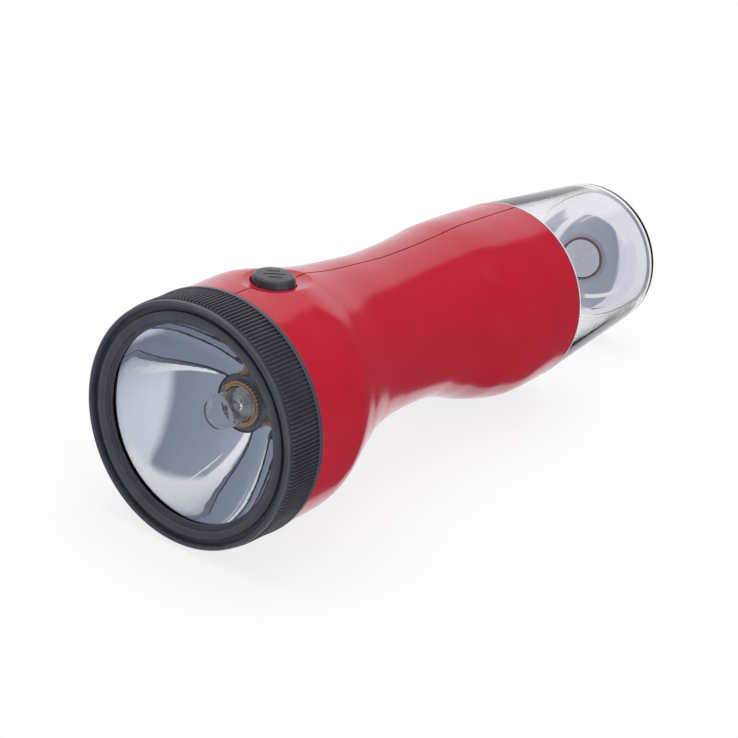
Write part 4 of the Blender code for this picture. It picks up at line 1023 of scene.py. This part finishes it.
platePiece()
lampLine = roundedLine([
    (0, 176.3, 0), (2.9, 176.3, 0.1), (2.9, 177.3, 0.1), (2.5, 177.3, 0), (2.5, 184.7, 2.4), (0, 184.7, 0),
])
turnedPiece("tailLamp", lampLine, 56, clearEpoxy, "torch_body", ("rear_lamp",))
cupLine = roundedLine([
    (0, 172.0, 0), (23.4, 172.0, 0.5), (23.4, 152.0, 0.2), (29.2, 152.0, 0.2), (29.2, 153.6, 0.2),
    (24.8, 153.6, 0.4), (24.8, 173.3, 0.4), (0, 173.3, 0),
])
turnedPiece("bulkheadCup", cupLine, 128, greyAbs, "torch_body", ("bulkhead_cup",))
print("tail made")

# Pieces kept from the frame get their finish in their own slots
keptFinishes = {
    "bulb_contact_strip": yellowBrass, "tail_contact_strip": yellowBrass, "button_spring": springSteel,
    "switch_housing": whiteAbs, "switch_contact": yellowBrass, "battery_front": cellJacket,
    "battery_rear": cellJacket, "tail_spring": springSteel, "tail_contact_disc": tinnedBrass,
}
for name, finish in keptFinishes.items():
    node = frame["nodes"][name]
    node.data.materials.clear()
    node.data.materials.append(finish)
print("kept pieces finished")

# Camera: where the photograph was taken from, in millimetres from the front's centre, in the torch's
# own side, tailward and up directions
view = {
    "from": (502.97, -654.22, 389.42), "right": (0.794219, 0.595948, 0.118581),
    "up": (-0.330144, 0.259391, 0.907591), "back": (0.510119, -0.759975, 0.402762), "lens": 146.34,
}


# A place and a turn from three axes and a point
def standing(right, up, back, point):
    return Matrix(np.vstack([np.stack([right, up, back, point], 1), [0, 0, 0, 1]]).tolist())


def torchVector(parts):
    side, tailward, up = parts
    return side * sideWay - tailward * beamWay + up * upWay


camera = bpy.data.objects.new("camera", bpy.data.cameras.new("camera"))
bpy.context.scene.collection.objects.link(camera)
bpy.context.scene.camera = camera
cameraAxes = [torchVector(view[part]) for part in ("right", "up", "back")]
camera.matrix_world = standing(*cameraAxes, frontCentre + mm * torchVector(view["from"]))
camera.data.sensor_width = 36
camera.data.lens = view["lens"]
camera.data.clip_start = 0.01
camera.data.clip_end = 50

# Floor, world and lamps
studio = {
    "floorSize": 6.0, "floorColour": "#F0F0F1", "floorGlow": 0.82,
    # The room round the torch, by compass: degrees from the beam towards the torch's own side
    "round": (
        (-180, "#8E9098"), (-176, "#FAFAFF"), (-98, "#FAFAFF"), (-90, "#A8ADBA"), (-62, "#A2A7B6"),
        (-57, "#FFFFFF"), (-48, "#FFFFFF"), (-44, "#A0A6B5"), (30, "#8E94A4"), (48, "#868C9C"),
        (54, "#E6E9F2"), (112, "#F4F4F8"), (122, "#54565E"), (177, "#54565E"),
    ),
    "overhead": "#FFFFFF",
    # Bright strips: two ends of each, half its width
    "strips": (
        ((0.68, -0.30, -0.67), (0.05, -0.56, -0.83), 0.07),
        ((-0.70, -0.50, 0.51), (-0.56, -0.20, 0.80), 0.05),
        ((-0.386, -0.568, 0.727), (-0.152, -0.332, 0.931), 0.012),
    ),
}


# Paper on a lit table: the camera sees it nearly white but for the torch's shadow, mirrors see the
# room past it
def makeFloor():
    half = studio["floorSize"] / 2
    mesh = bpy.data.meshes.new("floor")
    corners = [(-half, -half, 0), (half, -half, 0), (half, half, 0), (-half, half, 0)]
    mesh.from_pydata(corners, [], [(0, 1, 2, 3)])
    floor = bpy.data.objects.new("floor", mesh)
    bpy.context.scene.collection.objects.link(floor)
    material = bpy.data.materials.new("whitePaperSweep")
    material.use_nodes = True
    tree = material.node_tree
    tree.nodes.clear()
    paper = addNode(tree, "ShaderNodeBsdfDiffuse", {"Color": linearColour(studio["floorColour"])})
    glow = addNode(tree, "ShaderNodeEmission", {"Color": (1, 1, 1, 1), "Strength": 1.0})
    path = addNode(tree, "ShaderNodeLightPath")
    seen = addNode(
        tree, "ShaderNodeMath",
        {0: path.outputs["Is Camera Ray"], 1: path.outputs["Is Transmission Ray"]}, operation="MAXIMUM",
    )
    share = addNode(
        tree, "ShaderNodeMath", {0: seen.outputs["Value"], 1: studio["floorGlow"]}, operation="MULTIPLY"
    )
    lit = addNode(
        tree, "ShaderNodeMixShader",
        {0: share.outputs["Value"], 1: paper.outputs["BSDF"], 2: glow.outputs["Emission"]},
    )
    past = addNode(tree, "ShaderNodeBsdfTransparent")
    mixed = addNode(
        tree, "ShaderNodeMixShader",
        {0: path.outputs["Is Glossy Ray"], 1: lit.outputs["Shader"], 2: past.outputs["BSDF"]},
    )
    addNode(tree, "ShaderNodeOutputMaterial", {"Surface": mixed.outputs["Shader"]})
    mesh.materials.append(material)


makeFloor()


# The room: panels of white and grey cloth round the torch, a white ceiling over its back part and
# three bright strips. What the camera itself sees past the torch is white all round.
def makeWorld():
    world = bpy.data.worlds.new("studioRoom")
    bpy.context.scene.world = world
    world.use_nodes = True
    tree = world.node_tree
    tree.nodes.clear()

    def step(value, low, high):
        return addNode(
            tree, "ShaderNodeMapRange", {"Value": value, "From Min": low, "From Max": high},
            interpolation_type="SMOOTHSTEP",
        ).outputs["Result"]

    def times(first, second):
        return addNode(tree, "ShaderNodeMath", {0: first, 1: second}, operation="MULTIPLY").outputs[0]

    whole = addNode(tree, "ShaderNodeTexCoord").outputs["Generated"]
    way = addNode(tree, "ShaderNodeSeparateXYZ", {0: whole})
    side, behind, up = (way.outputs[k] for k in ("X", "Y", "Z"))
    ahead = addNode(tree, "ShaderNodeMath", {0: behind, 1: -1.0}, operation="MULTIPLY").outputs[0]
    compass = addNode(tree, "ShaderNodeMath", {0: side, 1: ahead}, operation="ARCTAN2").outputs[0]
    turn = addNode(
        tree, "ShaderNodeMapRange", {"Value": compass, "From Min": -math.pi, "From Max": math.pi}
    ).outputs["Result"]
    cloth = addNode(tree, "ShaderNodeValToRGB", {"Fac": turn})
    stops = cloth.color_ramp.elements
    for k, (degrees, colour) in enumerate(studio["round"]):
        stop = stops[k] if k < 2 else stops.new(1.0)
        stop.position = (degrees + 180) / 360
        stop.color = linearColour(colour)
    above = times(times(step(behind, -0.42, -0.34), step(up, 0.45, 0.62)), step(behind, 0.75, 0.5))
    # A strip is where the direction is nearly square to the strip's plane's normal, between its ends
    lit = 0.0
    for first, last, half in studio["strips"]:
        first, last = (np.array(end) / np.linalg.norm(end) for end in (first, last))
        normal = np.cross(first, last) / np.linalg.norm(np.cross(first, last))
        middle = (first + last) / np.linalg.norm(first + last)
        dots = [
            addNode(
                tree, "ShaderNodeVectorMath", {0: whole, 1: tuple(axis)}, operation="DOT_PRODUCT"
            ).outputs["Value"]
            for axis in (normal, middle)
        ]
        off = addNode(tree, "ShaderNodeMath", {0: dots[0]}, operation="ABSOLUTE").outputs[0]
        reach = float(first @ middle)
        strip = times(step(off, half * 1.2, half * 0.8), step(dots[1], reach - 0.03, reach + 0.01))
        lit = addNode(tree, "ShaderNodeMath", {0: lit, 1: strip}, operation="MAXIMUM").outputs[0]
    roofed = addNode(
        tree, "ShaderNodeMix", {0: above, 6: cloth.outputs["Color"], 7: linearColour(studio["overhead"])},
        data_type="RGBA",
    ).outputs[2]
    colour = addNode(
        tree, "ShaderNodeMix", {0: lit, 6: roofed, 7: (1, 1, 1, 1)}, data_type="RGBA"
    ).outputs[2]
    room = addNode(tree, "ShaderNodeBackground", {"Color": colour, "Strength": 1.0})
    white = addNode(tree, "ShaderNodeBackground", {"Color": (1, 1, 1, 1), "Strength": 1.0})
    path = addNode(tree, "ShaderNodeLightPath")
    # Glass shows the white backdrop too, where it looks on towards the back of the room
    through = times(path.outputs["Is Transmission Ray"], step(behind, 0.05, 0.2))
    seen = addNode(
        tree, "ShaderNodeMath", {0: path.outputs["Is Camera Ray"], 1: through}, operation="MAXIMUM"
    )
    shown = addNode(
        tree, "ShaderNodeMixShader",
        {0: seen.outputs[0], 1: room.outputs["Background"], 2: white.outputs["Background"]},
    )
    addNode(tree, "ShaderNodeOutputWorld", {"Surface": shown.outputs["Shader"]})


makeWorld()

# Soft lamps that mirrors and glass don't show: (name, place, aimed at, width, height, watts)
lamps = (
    ("overheadSoftbox", (-0.1, 0.1, 1.3), (0, 0, 0.03), 1.0, 0.8, 8),
    ("rightSoftbox", (1.25, -0.55, 0.25), (0, 0, 0.03), 0.6, 0.6, 5),
)
for name, at, aim, width, height, watts in lamps:
    lamp = bpy.data.lights.new(name, "AREA")
    lamp.shape = "RECTANGLE"
    lamp.size = width
    lamp.size_y = height
    lamp.energy = watts
    holder = bpy.data.objects.new(name, lamp)
    bpy.context.scene.collection.objects.link(holder)
    away = np.array(at, float) - np.array(aim, float)
    away /= np.linalg.norm(away)
    across = np.cross([0.0, 0.0, 1.0], away)
    across /= np.linalg.norm(across)
    upward = np.cross(away, across)
    holder.matrix_world = standing(across, upward, away, at)
    holder.visible_glossy = False
    holder.visible_transmission = False

bpy.context.scene.view_settings.view_transform = "Standard"
print("studio made")
